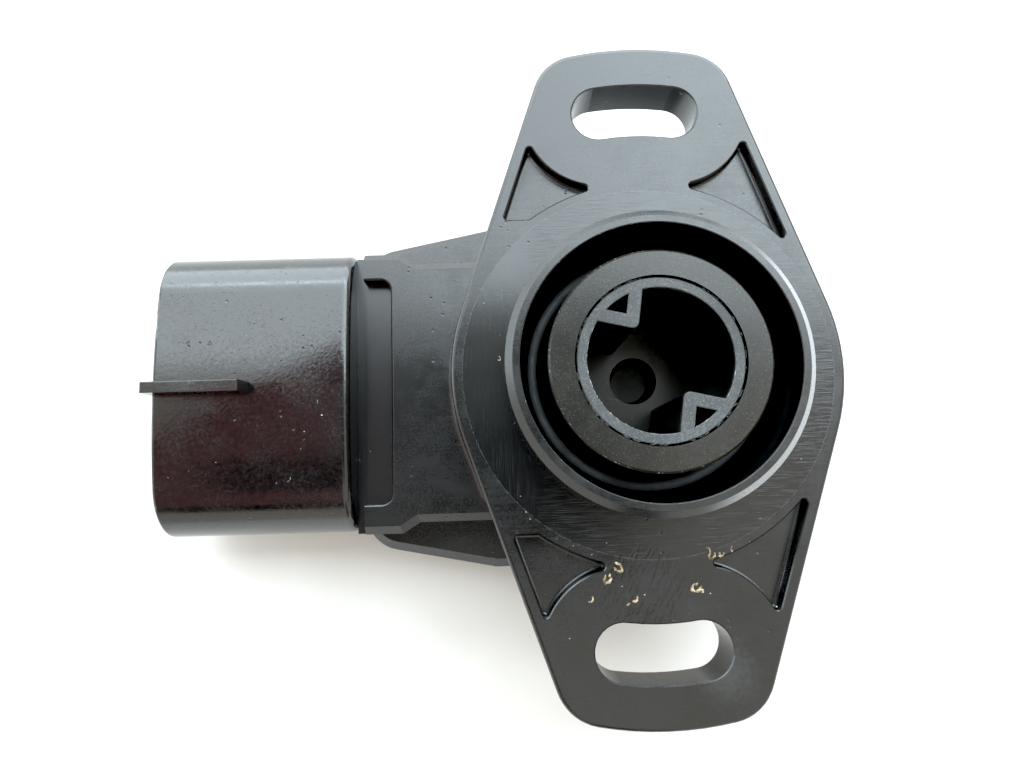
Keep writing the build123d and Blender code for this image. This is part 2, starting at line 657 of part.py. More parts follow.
def make_terminal(y):
    """A flat blade, tapered at its tip, that runs from the socket into the rear cavity."""
    half = TERMINAL_WIDTH / 2
    tip = MOUTH_X + TERMINAL_TIP_X
    inner = TAIL_CAVITY_X + TERMINAL_PAD_LENGTH
    nose = half / 2
    outline = [
        (tip, nose),
        (tip + TERMINAL_TIP_TAPER, half),
        (inner, half),
        (inner, -half),
        (tip + TERMINAL_TIP_TAPER, -half),
        (tip, -nose),
    ]
    blade = Pos(0, y) * Polygon(*outline, align=None)
    return slab(blade, Z_TERMINAL - TERMINAL_THICK / 2, Z_TERMINAL + TERMINAL_THICK / 2)


def make_lead(y):
    """A bent strip from the terminal's rear face down to the plate's pad."""
    head = Z_TERMINAL - TERMINAL_THICK / 2
    foot = Z_TRACK + LEAD_SHEET
    foot_end = LEAD_FOOT - TAIL_REACH + TRACE_WIDTH / 2
    bend = TAIL_CAVITY_X + TERMINAL_PAD_LENGTH
    outline = [
        (bend - LEAD_HEAD, head),
        (bend, head),
        (foot_end - LEAD_FOOT, foot),
        (foot_end, foot),
        (foot_end, foot - LEAD_SHEET),
        (foot_end - LEAD_FOOT - LEAD_SHEET / 2, foot - LEAD_SHEET),
        (bend - LEAD_SHEET / 2, head - LEAD_SHEET),
        (bend - LEAD_HEAD, head - LEAD_SHEET),
    ]
    return side_slab(outline, LEAD_WIDTH, y)


def wiper_frame():
    """Turns a layout drawn with its contacts on +Y to the wiper's place on the rotor at rest."""
    return Rot(0, 0, REST_ANGLE - 90)


def stake_places():
    """Where the rotor's two stakes pass through the wiper's plate."""
    x = WIPER_ARM_LENGTH + WIPER_PLATE_LENGTH / 2
    middle = (TRACK_RADIUS + COLLECTOR_RADIUS) / 2
    step = (TRACK_RADIUS - COLLECTOR_RADIUS) / 4
    return [(x, middle - step), (x, middle + step)]


def make_contact_wiper():
    """Sprung sheet-metal contact, staked to the disc, with one arm for each track."""
    low = COLLECTOR_RADIUS - WIPER_PLATE_MARGIN
    high = TRACK_RADIUS + WIPER_PLATE_MARGIN
    plate = Pos(WIPER_ARM_LENGTH + WIPER_PLATE_LENGTH / 2, (low + high) / 2) * Rectangle(
        WIPER_PLATE_LENGTH, high - low
    )
    for place in stake_places():
        plate -= Pos(*place) * Circle(STAKE_RADIUS + STAKE_CLEARANCE)
    wiper = slab(plate, Z_DISC_BACK - WIPER_SHEET, Z_DISC_BACK)
    toe = Z_TRACK + WIPER_CONTACT_GAP
    shoe = WIPER_ARM_WIDTH / 2
    arm = [
        (WIPER_ARM_LENGTH, Z_DISC_BACK),
        (WIPER_ARM_LENGTH, Z_DISC_BACK - WIPER_SHEET),
        (shoe, toe),
        (-shoe, toe),
        (-shoe - WIPER_SHEET, toe + WIPER_SHEET),
        (-shoe, toe + 2 * WIPER_SHEET),
        (shoe, toe + WIPER_SHEET),
        (WIPER_ARM_LENGTH - WIPER_SHEET, Z_DISC_BACK),
    ]
    for radius in (TRACK_RADIUS, COLLECTOR_RADIUS):
        wiper += side_slab(arm, WIPER_ARM_WIDTH, radius)
    return wiper_frame() * wiper


def build_parts():
    """Every piece of the sensor, by name."""
    parts = {
        "housing": make_housing(),
        "rear_cover": make_rear_cover(),
        "cover_sealant": make_cover_sealant(),
        "rotor_drum": make_rotor_drum(),
        "drive_sleeve": make_drive_sleeve(),
        "return_spring": make_return_spring(),
        "pivot_pin": make_pivot_pin(),
        "spring_washer": make_spring_washer(),
        "contact_wiper": make_contact_wiper(),
        "resistor_substrate": make_substrate(),
        "resistor_track": slab(track_sketch(TRACK_RADIUS), Z_PLATE, Z_TRACK),
        "collector_track": slab(track_sketch(COLLECTOR_RADIUS), Z_PLATE, Z_TRACK),
    }
    for name, y in TERMINALS.items():
        parts["terminal_" + name] = make_terminal(y)
        parts["lead_" + name] = make_lead(y)
        parts["trace_" + name] = make_trace(y)
    return parts


os.makedirs("parts", exist_ok=True)
for node, shape in build_parts().items():
    export_step(shape, os.path.join("parts", node + ".step"))
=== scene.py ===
import logging
import math
import random
from dataclasses import dataclass, field
from enum import Enum
from typing import Any

import bpy
from mathutils import Matrix, Vector


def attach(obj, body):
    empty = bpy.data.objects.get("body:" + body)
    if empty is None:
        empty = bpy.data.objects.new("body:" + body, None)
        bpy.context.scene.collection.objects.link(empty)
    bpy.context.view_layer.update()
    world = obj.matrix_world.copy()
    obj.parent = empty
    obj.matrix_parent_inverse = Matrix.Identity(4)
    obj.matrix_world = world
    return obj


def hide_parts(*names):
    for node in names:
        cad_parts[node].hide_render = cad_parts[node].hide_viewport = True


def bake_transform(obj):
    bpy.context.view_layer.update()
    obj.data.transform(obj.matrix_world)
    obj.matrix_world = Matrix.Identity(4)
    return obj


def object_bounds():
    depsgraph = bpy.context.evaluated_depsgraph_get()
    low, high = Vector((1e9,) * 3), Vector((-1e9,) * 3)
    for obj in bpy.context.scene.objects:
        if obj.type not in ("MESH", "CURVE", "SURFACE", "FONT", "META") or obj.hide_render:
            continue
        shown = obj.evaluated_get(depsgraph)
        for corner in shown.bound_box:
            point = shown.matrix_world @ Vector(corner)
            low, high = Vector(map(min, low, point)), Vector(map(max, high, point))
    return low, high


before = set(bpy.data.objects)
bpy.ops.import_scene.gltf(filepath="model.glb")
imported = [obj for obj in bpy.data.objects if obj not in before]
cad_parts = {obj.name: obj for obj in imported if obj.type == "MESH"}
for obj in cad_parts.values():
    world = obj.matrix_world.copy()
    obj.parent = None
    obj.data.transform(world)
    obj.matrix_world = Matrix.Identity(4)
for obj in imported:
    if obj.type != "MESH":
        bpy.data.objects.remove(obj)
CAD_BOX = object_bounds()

log = logging.getLogger("throttle_position_sensor")

MM = 0.001
# A face is a wall where the upward part of its normal is less than this.
WALL_SLOPE = 0.5
# The light's colour under a clear sky.
DAYLIGHT = (0.77, 0.91, 1.0)
Point = tuple[float, float, float]
Tree = bpy.types.NodeTree
Node = bpy.types.Node
Socket = bpy.types.NodeSocket


class Body(Enum):
    """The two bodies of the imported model."""

    STATOR = "stator"
    ROTOR = "rotor"


class FlakeForm(Enum):
    """How a loose flake is shaped."""

    CURL = "curl"
    CRUMB = "crumb"


def linear(colour: str) -> tuple[float, float, float, float]:
    """Turn an sRGB hex colour into linear light.

    Args:
        colour: six hex digits after a hash sign.

    Returns:
        Linear red, green, blue and an alpha of one.
    """
    channels = [int(colour[i:i + 2], 16) / 255 for i in (1, 3, 5)]
    light = [c / 12.92 if c <= 0.04045 else ((c + 0.055) / 1.055) ** 2.4 for c in channels]
    return light[0], light[1], light[2], 1.0


def metres(place: Point) -> Point:
    """Turn a place in millimetres into metres."""
    return place[0] * MM, place[1] * MM, place[2] * MM


def add_node(tree: Tree, kind: str, settings: dict[str, Any] | None = None,
             inputs: dict[int | str, Any] | None = None) -> Node:
    """Add one shader node with its settings and links.

    Args:
        tree: the material's node tree.
        kind: the node's type, without the word ShaderNode in front.
        settings: the node's own properties.
        inputs: for each input, a number or colour to set, or a node or socket to link.

    Returns:
        The new node.
    """
    node = tree.nodes.new("ShaderNode" + kind)
    for key, value in (settings or {}).items():
        setattr(node, key, value)
    for key, value in (inputs or {}).items():
        if isinstance(value, bpy.types.Node):
            tree.links.new(value.outputs[0], node.inputs[key])
        elif isinstance(value, bpy.types.NodeSocket):
            tree.links.new(value, node.inputs[key])
        else:
            node.inputs[key].default_value = value
    return node


@dataclass(frozen=True)
class Finish:
    """What every finish has: a material name, a gloss and an index of refraction."""

    name: str
    roughness: float
    ior: float = 1.5
    metallic: float = 0.0

    def material(self) -> bpy.types.Material:
        """Give the finish's material, made the first time it is asked for.

        Returns:
            The material.
        """
        made = bpy.data.materials.get(self.name)
        if made is not None:
            return made
        made = bpy.data.materials.new(self.name)
        made.use_nodes = True
        tree = made.node_tree
        tree.nodes.clear()
        surface = add_node(tree, "BsdfPrincipled", None, {"Metallic": self.metallic, "IOR": self.ior})
        add_node(tree, "OutputMaterial", None, {"Surface": surface})
        coordinates = add_node(tree, "TexCoord")
        millimetres = add_node(tree, "VectorMath", {"operation": "SCALE"},
                               {0: coordinates.outputs["Object"], "Scale": 1 / MM})
        self.wire(tree, surface, millimetres.outputs[0])
        return made

    def wire(self, tree: Tree, surface: Node, place: Socket) -> None:
        """Wire the pattern; each finish has its own."""
        raise NotImplementedError


@dataclass(frozen=True)
class MouldedPlastic(Finish):
    """Glass-filled polyester as it leaves the mould: matt, cloudy and finely grained."""

    ior: float = 1.7
    pigment: str = "#070707"
    bloom: str = "#101112"
    dust: str = "#8d9091"
    rubbed: str = ""
    rubbed_share: tuple[float, float] = (0.6, 0.95)
    # Pale colour of filler grains laid bare, with painted glints on them.
    bare_and_glint: str = ""
    bare_share: float = 0.14
    bare_above_mm: float = 4.0
    # Real grains of filler are finer, bare or covered; these are as coarse as they need to show.
    bare_mm: float = 0.09
    grain_mm: float = 0.2
    grain_depth_mm: float = 0.006
    cloud_mm: float = 5.0
    gloss_spread: float = 0.08
    walls: float = 0.0
    dust_spacing_mm: float = 1.3
    dust_size: float = 0.035
    dust_share: float = 0.2

    def wire(self, tree: Tree, surface: Node, place: Socket) -> None:
        """Wire the cloudy colour, the gloss and the grain.

        Args:
            tree: the material's node tree.
            surface: the shader to feed.
            place: the place on the piece, in millimetres.
        """
        colour, gloss, height = self.moulding(tree, place)
        self.feed(tree, surface, colour, gloss, height)

    def moulding(self, tree: Tree, place: Socket) -> tuple[Socket, Socket, Socket]:
        """Wire what all of these mouldings share.

        Args:
            tree: the material's node tree.
            place: the place on the piece, in millimetres.

        Returns:
            The colour, the roughness and the height of the grain in millimetres.
        """
        cloud = add_node(tree, "TexNoise", None,
                         {"Vector": place, "Scale": 1 / self.cloud_mm, "Detail": 5.0, "Roughness": 0.62})
        grain = add_node(tree, "TexNoise", None,
                         {"Vector": place, "Scale": 1 / self.grain_mm, "Detail": 2.0, "Roughness": 0.6})
        patch = add_node(tree, "MapRange", None,
                         {"Value": cloud.outputs[0], "From Min": 0.32, "From Max": 0.7})
        mottled = add_node(tree, "Mix", {"data_type": "RGBA"},
                           {0: patch, 6: linear(self.pigment), 7: linear(self.bloom)})
        facing = add_node(tree, "SeparateXYZ", None, {0: add_node(tree, "TexCoord").outputs["Normal"]})
        upward = add_node(tree, "Math", {"operation": "GREATER_THAN"},
                          {0: facing.outputs["Z"], 1: WALL_SLOPE})
        if self.rubbed:
            # Faces that look up are rubbed pale; walls keep the moulded skin.
            share = add_node(tree, "MapRange", None,
                             {"Value": patch, "To Min": self.rubbed_share[0],
                              "To Max": self.rubbed_share[1]})
            worn = add_node(tree, "Math", {"operation": "MULTIPLY"}, {0: upward, 1: share})
            mottled = add_node(tree, "Mix", {"data_type": "RGBA"},
                               {0: worn, 6: mottled.outputs[2], 7: linear(self.rubbed)})
        if self.bare_and_glint:
            # Grains of filler laid bare by the rubbing, in drifts, painted pale: partly the grains' own
            # colour, partly painted glints.
            grains = add_node(tree, "TexVoronoi", None, {"Vector": place, "Scale": 1 / self.bare_mm})
            toss = add_node(tree, "SeparateColor", None, {0: grains.outputs["Color"]})
            drift = add_node(tree, "MapRange", None,
                             {"Value": cloud.outputs[0], "From Min": 0.35, "From Max": 0.65,
                              "To Min": 1.0 - self.bare_share / 3, "To Max": 1.0 - self.bare_share * 5 / 3})
            laid = add_node(tree, "Math", {"operation": "GREATER_THAN"}, {0: toss.outputs[0], 1: drift})
            painted_glint = add_node(tree, "Math", {"operation": "MULTIPLY"}, {0: laid, 1: toss.outputs[1]})
            rise = add_node(tree, "SeparateXYZ", None, {0: place}).outputs["Z"]
            top = add_node(tree, "Math", {"operation": "GREATER_THAN"}, {0: rise, 1: self.bare_above_mm})
            shown = add_node(tree, "Math", {"operation": "MULTIPLY"}, {0: painted_glint, 1: top})
            mottled = add_node(tree, "Mix", {"data_type": "RGBA"},
                               {0: shown, 6: mottled.outputs[2], 7: linear(self.bare_and_glint)})
        motes = add_node(tree, "TexVoronoi", None, {"Vector": place, "Scale": 1 / self.dust_spacing_mm})
        lot = add_node(tree, "SeparateColor", None, {0: motes.outputs["Color"]})
        chosen = add_node(tree, "Math", {"operation": "GREATER_THAN"},
                          {0: lot.outputs[0], 1: 1.0 - self.dust_share})
        near = add_node(tree, "Math", {"operation": "LESS_THAN"},
                        {0: motes.outputs["Distance"], 1: self.dust_size})
        speck = add_node(tree, "Math", {"operation": "MULTIPLY"}, {0: chosen, 1: near})
        dusted = add_node(tree, "Mix", {"data_type": "RGBA"},
                          {0: speck, 6: mottled.outputs[2], 7: linear(self.dust)})
        gloss = add_node(tree, "MapRange", None,
                         {"Value": cloud.outputs[0], "From Min": 0.3, "From Max": 0.7,
                          "To Min": self.roughness - self.gloss_spread / 2,
                          "To Max": self.roughness + self.gloss_spread / 2})
        if self.walls:
            gloss = add_node(tree, "Mix", {"data_type": "FLOAT"}, {0: upward, 2: self.walls, 3: gloss})
        height = add_node(tree, "Math", {"operation": "MULTIPLY"},
                          {0: grain.outputs[0], 1: self.grain_depth_mm})
        return dusted.outputs[2], gloss.outputs[0], height.outputs[0]

    def feed(self, tree: Tree, surface: Node, colour: Socket, gloss: Socket, height: Socket) -> None:
        """Link a colour, a roughness and a height in millimetres to the shader.

        Args:
            tree: the material's node tree.
            surface: the shader to feed.
            colour: the base colour.
            gloss: the roughness.
            height: the relief in millimetres.
        """
        relief = add_node(tree, "Bump", None, {"Height": height, "Distance": MM, "Strength": 1.0})
        tree.links.new(colour, surface.inputs["Base Color"])
        tree.links.new(gloss, surface.inputs["Roughness"])
        tree.links.new(relief.outputs[0], surface.inputs["Normal"])


@dataclass(frozen=True)
class HousingZones:
    """Where a place on the housing lies: its coordinates, and masks that are one inside their zone."""

    x: Socket
    y: Socket
    z: Socket
    radius: Socket
    face: Node
    ring: Node
    bore: Node
    window: Node
    upright: Node
    socket: Node
    off_flange: Node


@dataclass(frozen=True)
class FacedMoulding(MouldedPlastic):
    """The housing: a moulding with a glossy socket, a faced ring round the spigot, and a lip with a painted
    highlight on its bevel.
    """

    # Zones, in the part's own frame.
    face_mm: float = 0.05
    ring_inner_mm: float = 11.6
    ring_outer_mm: float = 14.9
    bevel_z_mm: float = 4.34
    bevel_mm: float = 11.03
    bore_mm: float = 10.5
    window_z_mm: float = -7.6
    window_x_mm: tuple[float, float] = (-24.98, -21.0)
    socket_x_mm: float = -24.95
    wipe_from_x_mm: float = -16.0
    # Roughness of each zone, and what handling adds to it.
    ring_roughness: float = 0.2
    bore_roughness: float = 0.9
    wall_roughness: float = 0.22
    window_roughness: float = 0.27
    socket_roughness: float = 0.16
    dull_mm: float = 0.25
    dulling: float = 0.04
    socket_dulling: float = 0.1
    pit_dulling: float = 0.06
    smear: float = 0.03
    # The socket's orange peel and the nicks in its knocked side.
    socket_peel_mm: float = 0.38
    socket_peel_depth_mm: float = 0.0065
    film_band: tuple[float, float] = (0.56, 0.4)
    nick_mm: float = 0.3
    nick_depth_mm: float = 0.012
    nick_y_mm: tuple[float, float] = (1.5, 3.5)
    nick_limits: tuple[float, float] = (0.72, 0.6)
    nick_edge: float = 0.06
    # Marks of wiping and of facing by hand. Real ones are finer; these are as coarse as they need to show.
    wipe_length_mm: float = 3.5
    wipe_width_mm: float = 0.17
    wipe_depth_mm: float = 0.0003
    scratch_length_mm: float = 2.6
    scratch_width_mm: float = 0.06
    scratch_depth_mm: float = 0.004
    scratch_band: tuple[float, float] = (0.5, 0.74)
    turned_mm: tuple[float, float] = (-10.6, -7.8)
    witness_mm: float = 0.045
    witness_gap_mm: float = 0.09
    # The side of the spigot's bevel where the painted highlight is strongest.
    highlight_way: Point = (0.97, -0.26, 0.0)
    highlight_mm: tuple[float, float] = (4.8, 8.5)
    highlight_share: tuple[float, float] = (0.03, 1.0)
    # Pits, pores, scuffs and haze.
    ragged_mm: float = 0.4
    pit_depth_mm: float = 0.02
    pit_share: float = 0.8
    pore_spacing_mm: float = 1.0
    pore_mm: float = 0.15
    pore_share: float = 0.2
    scuff_mm: Point = (-1.4, -17.5, 0.0)
    scuff_reach_mm: float = 4.2
    stroke_turn_deg: float = 57.0
    stroke_length_mm: float = 1.25
    stroke_width_mm: float = 0.3
    stroke_band: tuple[float, float] = (0.5, 0.64)
    haze_mm: Point = (4.6, -23.4, 0.0)
    haze_reach_mm: float = 3.2
    haze_share: float = 0.8
    worn: str = "#1f2224"
    hazed: str = "#2b2e2f"
    film: str = "#191312"
    pale_line: str = "#34373a"
    # The pale tone painted on the spigot's bevel as a highlight.
    bevel_highlight: str = "#85888b"
    # Near black: the colour of the pits, the scuffs and the witness line's inner half, and painted shade in
    # the bore.
    near_black: str = "#020202"
    pits: tuple[tuple[Point, float], ...] = (
        ((-11.07, 12.5, 0.0), 0.14), ((-11.5, 12.05, 0.0), 0.1), ((-10.95, 11.8, 0.0), 0.1),
        ((-9.3, 10.75, 0.0), 0.12), ((-2.4, -17.6, 0.0), 0.3), ((0.9, -19.35, 0.0), 0.22),
        ((-39.0, 4.26, -5.33), 0.2), ((-37.1, 4.0, -5.32), 0.22), ((-29.0, 4.6, -5.36), 0.16),
        ((-28.25, 3.6, -5.3), 0.14), ((-29.7, 9.57, -5.92), 0.16),
    )

    def wire(self, tree: Tree, surface: Node, place: Socket) -> None:
        """Wire the moulding and its faced, worn and polished places, with a painted highlight on the
        spigot's bevel and painted shade in the bore.

        Args:
            tree: the material's node tree.
            surface: the shader to feed.
            place: the place on the piece, in millimetres.
        """
        colour, gloss, height = self.moulding(tree, place)
        zones = self.zones(tree, place)
        ragged = add_node(tree, "TexNoise", None,
                          {"Vector": place, "Scale": 1 / self.ragged_mm, "Detail": 4.0}).outputs[0]
        marks = self.hairlines(tree, place, zones)
        dents = self.pitting(tree, place, ragged)
        wipes = self.wiping(tree, place, zones)
        skin, filmed = self.socket_skin(tree, place, zones, ragged)

        # From the hairlines up to the thin brown film that handling left in the hollows of the socket. The
        # near-black bore is painted shade that darkens the deep gap round the drum, and the pale bevel is a
        # painted highlight.
        for share, tone in ((marks, self.worn), *self.witness(tree, zones, ragged), (dents, self.near_black),
                            (self.haze(tree, place, ragged), self.hazed),
                            (self.painted_bevel_highlight(tree, place, zones), self.bevel_highlight),
                            (zones.bore, self.near_black), (filmed, self.film)):
            colour = add_node(tree, "Mix", {"data_type": "RGBA"},
                              {0: share, 6: colour, 7: linear(tone)}).outputs[2]
        for mark, depth in ((marks, -self.scratch_depth_mm), (dents, -self.pit_depth_mm),
                            (wipes, self.wipe_depth_mm)):
            height = add_node(tree, "Math", {"operation": "MULTIPLY_ADD"},
                              {0: mark, 1: depth, 2: height}).outputs[0]
        relief = add_node(tree, "Math", {"operation": "ADD"}, {0: height, 1: skin})
        dulled = add_node(tree, "Math", {"operation": "MULTIPLY_ADD"},
                          {0: dents, 1: self.pit_dulling, 2: gloss})
        shine = self.shine(tree, place, zones, wipes, dulled.outputs[0])
        self.feed(tree, surface, colour, shine, relief.outputs[0])

    def zones(self, tree: Tree, place: Socket) -> HousingZones:
        """Tell the housing's zones apart by where they lie and how they face.

        Args:
            tree: the material's node tree.
            place: the place on the piece, in millimetres.

        Returns:
            The zones.
        """
        x, y, z = add_node(tree, "SeparateXYZ", None, {0: place}).outputs
        level = add_node(tree, "VectorMath", {"operation": "MULTIPLY"}, {0: place, 1: (1.0, 1.0, 0.0)})
        radius = add_node(tree, "VectorMath", {"operation": "LENGTH"}, {0: level}).outputs["Value"]
        face = add_node(tree, "Math", {"operation": "COMPARE"}, {0: z, 1: 0.0, 2: self.face_mm})
        middle = (self.ring_inner_mm + self.ring_outer_mm) / 2
        near = add_node(tree, "Math", {"operation": "COMPARE"},
                        {0: radius, 1: middle, 2: self.ring_outer_mm - middle})
        ring = add_node(tree, "Math", {"operation": "MULTIPLY"}, {0: face, 1: near})
        bore = add_node(tree, "Math", {"operation": "LESS_THAN"}, {0: radius, 1: self.bore_mm})
        low = add_node(tree, "Math", {"operation": "LESS_THAN"}, {0: z, 1: self.window_z_mm})
        centre = sum(self.window_x_mm) / 2
        along = add_node(tree, "Math", {"operation": "COMPARE"},
                         {0: x, 1: centre, 2: self.window_x_mm[1] - centre})
        window = add_node(tree, "Math", {"operation": "MULTIPLY"}, {0: low, 1: along})
        facing = add_node(tree, "SeparateXYZ", None, {0: add_node(tree, "TexCoord").outputs["Normal"]})
        upright = add_node(tree, "Math", {"operation": "COMPARE"},
                           {0: facing.outputs["Z"], 1: 0.0, 2: WALL_SLOPE})
        socket = add_node(tree, "Math", {"operation": "LESS_THAN"}, {0: x, 1: self.socket_x_mm})
        off_flange = add_node(tree, "MapRange", None,
                              {"Value": x, "From Min": self.socket_x_mm, "From Max": self.wipe_from_x_mm,
                               "To Min": 1.0, "To Max": 0.0})
        return HousingZones(x, y, z, radius, face, ring, bore, window, upright, socket, off_flange)

    def hairlines(self, tree: Tree, place: Socket, zones: HousingZones) -> Socket:
        """Wire what facing by hand on fine paper left on the ring: level lines, upright at the left.

        Args:
            tree: the material's node tree.
            place: the place on the piece, in millimetres.
            zones: the housing's zones.

        Returns:
            How strong a hairline is at each place.
        """
        long, fine = 1 / self.scratch_length_mm, 1 / self.scratch_width_mm
        strokes = []
        for stretch in ((long, fine, 1.0), (fine, long, 1.0)):
            drawn = add_node(tree, "VectorMath", {"operation": "MULTIPLY"}, {0: place, 1: stretch})
            strokes.append(add_node(tree, "TexNoise", None,
                                    {"Vector": drawn, "Scale": 1.0, "Detail": 1.5, "Roughness": 0.5}))
        turned = add_node(tree, "MapRange", None,
                          {"Value": zones.x, "From Min": self.turned_mm[0], "From Max": self.turned_mm[1],
                           "To Min": 1.0, "To Max": 0.0})
        lines = add_node(tree, "Mix", {"data_type": "FLOAT"},
                         {0: turned, 2: strokes[0].outputs[0], 3: strokes[1].outputs[0]})
        bold = add_node(tree, "MapRange", None,
                        {"Value": lines.outputs[0], "From Min": self.scratch_band[0],
                         "From Max": self.scratch_band[1]})
        return add_node(tree, "Math", {"operation": "MULTIPLY"}, {0: bold, 1: zones.ring}).outputs[0]

    def witness(self, tree: Tree, zones: HousingZones, ragged: Socket) -> list[tuple[Node, str]]:
        """Wire the fine broken line, pale outside and dark inside, that shows where the mating face ended.

        Args:
            tree: the material's node tree.
            zones: the housing's zones.
            ragged: a noise that breaks the line.

        Returns:
            How strong each half of the line is, and its colour.
        """
        broken = add_node(tree, "MapRange", None, {"Value": ragged, "From Min": 0.38, "From Max": 0.62})
        halves = []
        for reach, tone in ((self.ring_outer_mm, self.pale_line),
                            (self.ring_outer_mm - self.witness_gap_mm, self.near_black)):
            edge = add_node(tree, "Math", {"operation": "COMPARE"},
                            {0: zones.radius, 1: reach, 2: self.witness_mm})
            level_edge = add_node(tree, "Math", {"operation": "MULTIPLY"}, {0: edge, 1: zones.face})
            line = add_node(tree, "Math", {"operation": "MULTIPLY"}, {0: level_edge, 1: broken})
            halves.append((line, tone))
        return halves

    def painted_bevel_highlight(self, tree: Tree, place: Socket, zones: HousingZones) -> Node:
        """Wire the painted highlight on the spigot's bevel, strongest on one side.

        Args:
            tree: the material's node tree.
            place: the place on the piece, in millimetres.
            zones: the housing's zones.

        Returns:
            How bright a place is rubbed.
        """
        high = add_node(tree, "Math", {"operation": "GREATER_THAN"}, {0: zones.z, 1: self.bevel_z_mm})
        outer = add_node(tree, "Math", {"operation": "GREATER_THAN"}, {0: zones.radius, 1: self.bevel_mm})
        bevel = add_node(tree, "Math", {"operation": "MULTIPLY"}, {0: high, 1: outer})
        lean = add_node(tree, "VectorMath", {"operation": "DOT_PRODUCT"}, {0: place, 1: self.highlight_way})
        highlight_side = add_node(tree, "MapRange", {"interpolation_type": "SMOOTHSTEP"},
                           {"Value": lean.outputs["Value"], "From Min": self.highlight_mm[0],
                            "From Max": self.highlight_mm[1], "To Min": self.highlight_share[0],
                            "To Max": self.highlight_share[1]})
        return add_node(tree, "Math", {"operation": "MULTIPLY"}, {0: bevel, 1: highlight_side})

    def wiping(self, tree: Tree, place: Socket, zones: HousingZones) -> Socket:
        """Wire the level strokes of a cloth on the flange, which fade out towards the socket.

        Args:
            tree: the material's node tree.
            place: the place on the piece, in millimetres.
            zones: the housing's zones.

        Returns:
            The strokes' noise, a half where nothing was wiped.
        """
        wiped = add_node(tree, "VectorMath", {"operation": "MULTIPLY"},
                         {0: place, 1: (1 / self.wipe_length_mm, 1 / self.wipe_width_mm, 1.0)})
        strokes = add_node(tree, "TexNoise", None, {"Vector": wiped, "Scale": 1.0, "Detail": 3.0})
        return add_node(tree, "Mix", {"data_type": "FLOAT"},
                        {0: zones.off_flange, 2: strokes.outputs[0], 3: 0.5}).outputs[0]

    def shine(self, tree: Tree, place: Socket, zones: HousingZones, wipes: Socket, gloss: Socket) -> Socket:
        """Wire how rough each zone is.

        Args:
            tree: the material's node tree.
            place: the place on the piece, in millimetres.
            zones: the housing's zones.
            wipes: the strokes of the cloth.
            gloss: the moulding's roughness.

        Returns:
            The roughness.
        """
        smear = add_node(tree, "MapRange", None,
                         {"Value": wipes, "From Min": 0.3, "From Max": 0.7,
                          "To Min": -self.smear, "To Max": self.smear})
        gloss = add_node(tree, "Math", {"operation": "ADD"}, {0: gloss, 1: smear}).outputs[0]
        # The neck is even; handling has left the flange and the socket on either side of it patchy.
        neck = add_node(tree, "Math", {"operation": "SUBTRACT"}, {0: zones.off_flange, 1: zones.socket})
        gloss = add_node(tree, "Mix", {"data_type": "FLOAT"},
                         {0: neck, 2: gloss, 3: self.roughness}).outputs[0]
        handled = add_node(tree, "TexNoise", None,
                           {"Vector": place, "Scale": 1 / self.dull_mm, "Detail": 3.0})
        uneven = add_node(tree, "MapRange", None,
                          {"Value": handled.outputs[0], "From Min": 0.35, "From Max": 0.65,
                           "To Min": -0.5, "To Max": 1.0})
        away = add_node(tree, "Math", {"operation": "MULTIPLY_ADD"},
                        {0: zones.off_flange, 1: -self.dulling, 2: self.dulling})
        dulling = add_node(tree, "Math", {"operation": "MULTIPLY_ADD"},
                           {0: zones.socket, 1: self.socket_dulling, 2: away})
        gloss = add_node(tree, "Math", {"operation": "MULTIPLY_ADD"},
                         {0: uneven, 1: dulling, 2: gloss}).outputs[0]
        for zone, roughness in ((zones.ring, self.ring_roughness), (zones.bore, self.bore_roughness),
                                (zones.upright, self.wall_roughness),
                                (zones.window, self.window_roughness)):
            gloss = add_node(tree, "Mix", {"data_type": "FLOAT"},
                             {0: zone, 2: gloss, 3: roughness}).outputs[0]
        # The socket came from a polished part of the mould.
        return add_node(tree, "Math", {"operation": "MULTIPLY_ADD"},
                        {0: zones.socket, 1: self.socket_roughness - self.roughness, 2: gloss}).outputs[0]

    def socket_skin(self, tree: Tree, place: Socket, zones: HousingZones,
                    ragged: Socket) -> tuple[Socket, Socket]:
        """Wire the socket's orange peel and the fine nicks that pepper its knocked side in drifts.

        Args:
            tree: the material's node tree.
            place: the place on the piece, in millimetres.
            zones: the housing's zones.
            ragged: a noise that gathers the nicks.

        Returns:
            The skin's height in millimetres, and how deep in a hollow of the peel a place lies.
        """
        peel = add_node(tree, "TexNoise", None,
                        {"Vector": place, "Scale": 1 / self.socket_peel_mm, "Detail": 4.0,
                         "Roughness": 0.6}).outputs[0]
        swell = add_node(tree, "Math", {"operation": "MULTIPLY"}, {0: peel, 1: self.socket_peel_depth_mm})
        hollow = add_node(tree, "MapRange", None,
                          {"Value": peel, "From Min": self.film_band[0], "From Max": self.film_band[1]})
        filmed = add_node(tree, "Math", {"operation": "MULTIPLY"}, {0: hollow, 1: zones.socket})
        knocks = add_node(tree, "TexNoise", None,
                          {"Vector": place, "Scale": 1 / self.nick_mm, "Detail": 2.0, "Distortion": 0.8})
        drift = add_node(tree, "MapRange", None,
                         {"Value": ragged, "From Min": 0.4, "From Max": 0.6,
                          "To Min": self.nick_limits[0], "To Max": self.nick_limits[1]})
        over = add_node(tree, "Math", {"operation": "SUBTRACT"}, {0: knocks.outputs[0], 1: drift})
        nicks = add_node(tree, "MapRange", None,
                         {"Value": over, "From Min": 0.0, "From Max": self.nick_edge})
        side = add_node(tree, "MapRange", None,
                        {"Value": zones.y, "From Min": self.nick_y_mm[0], "From Max": self.nick_y_mm[1],
                         "To Min": 0.0, "To Max": -self.nick_depth_mm})
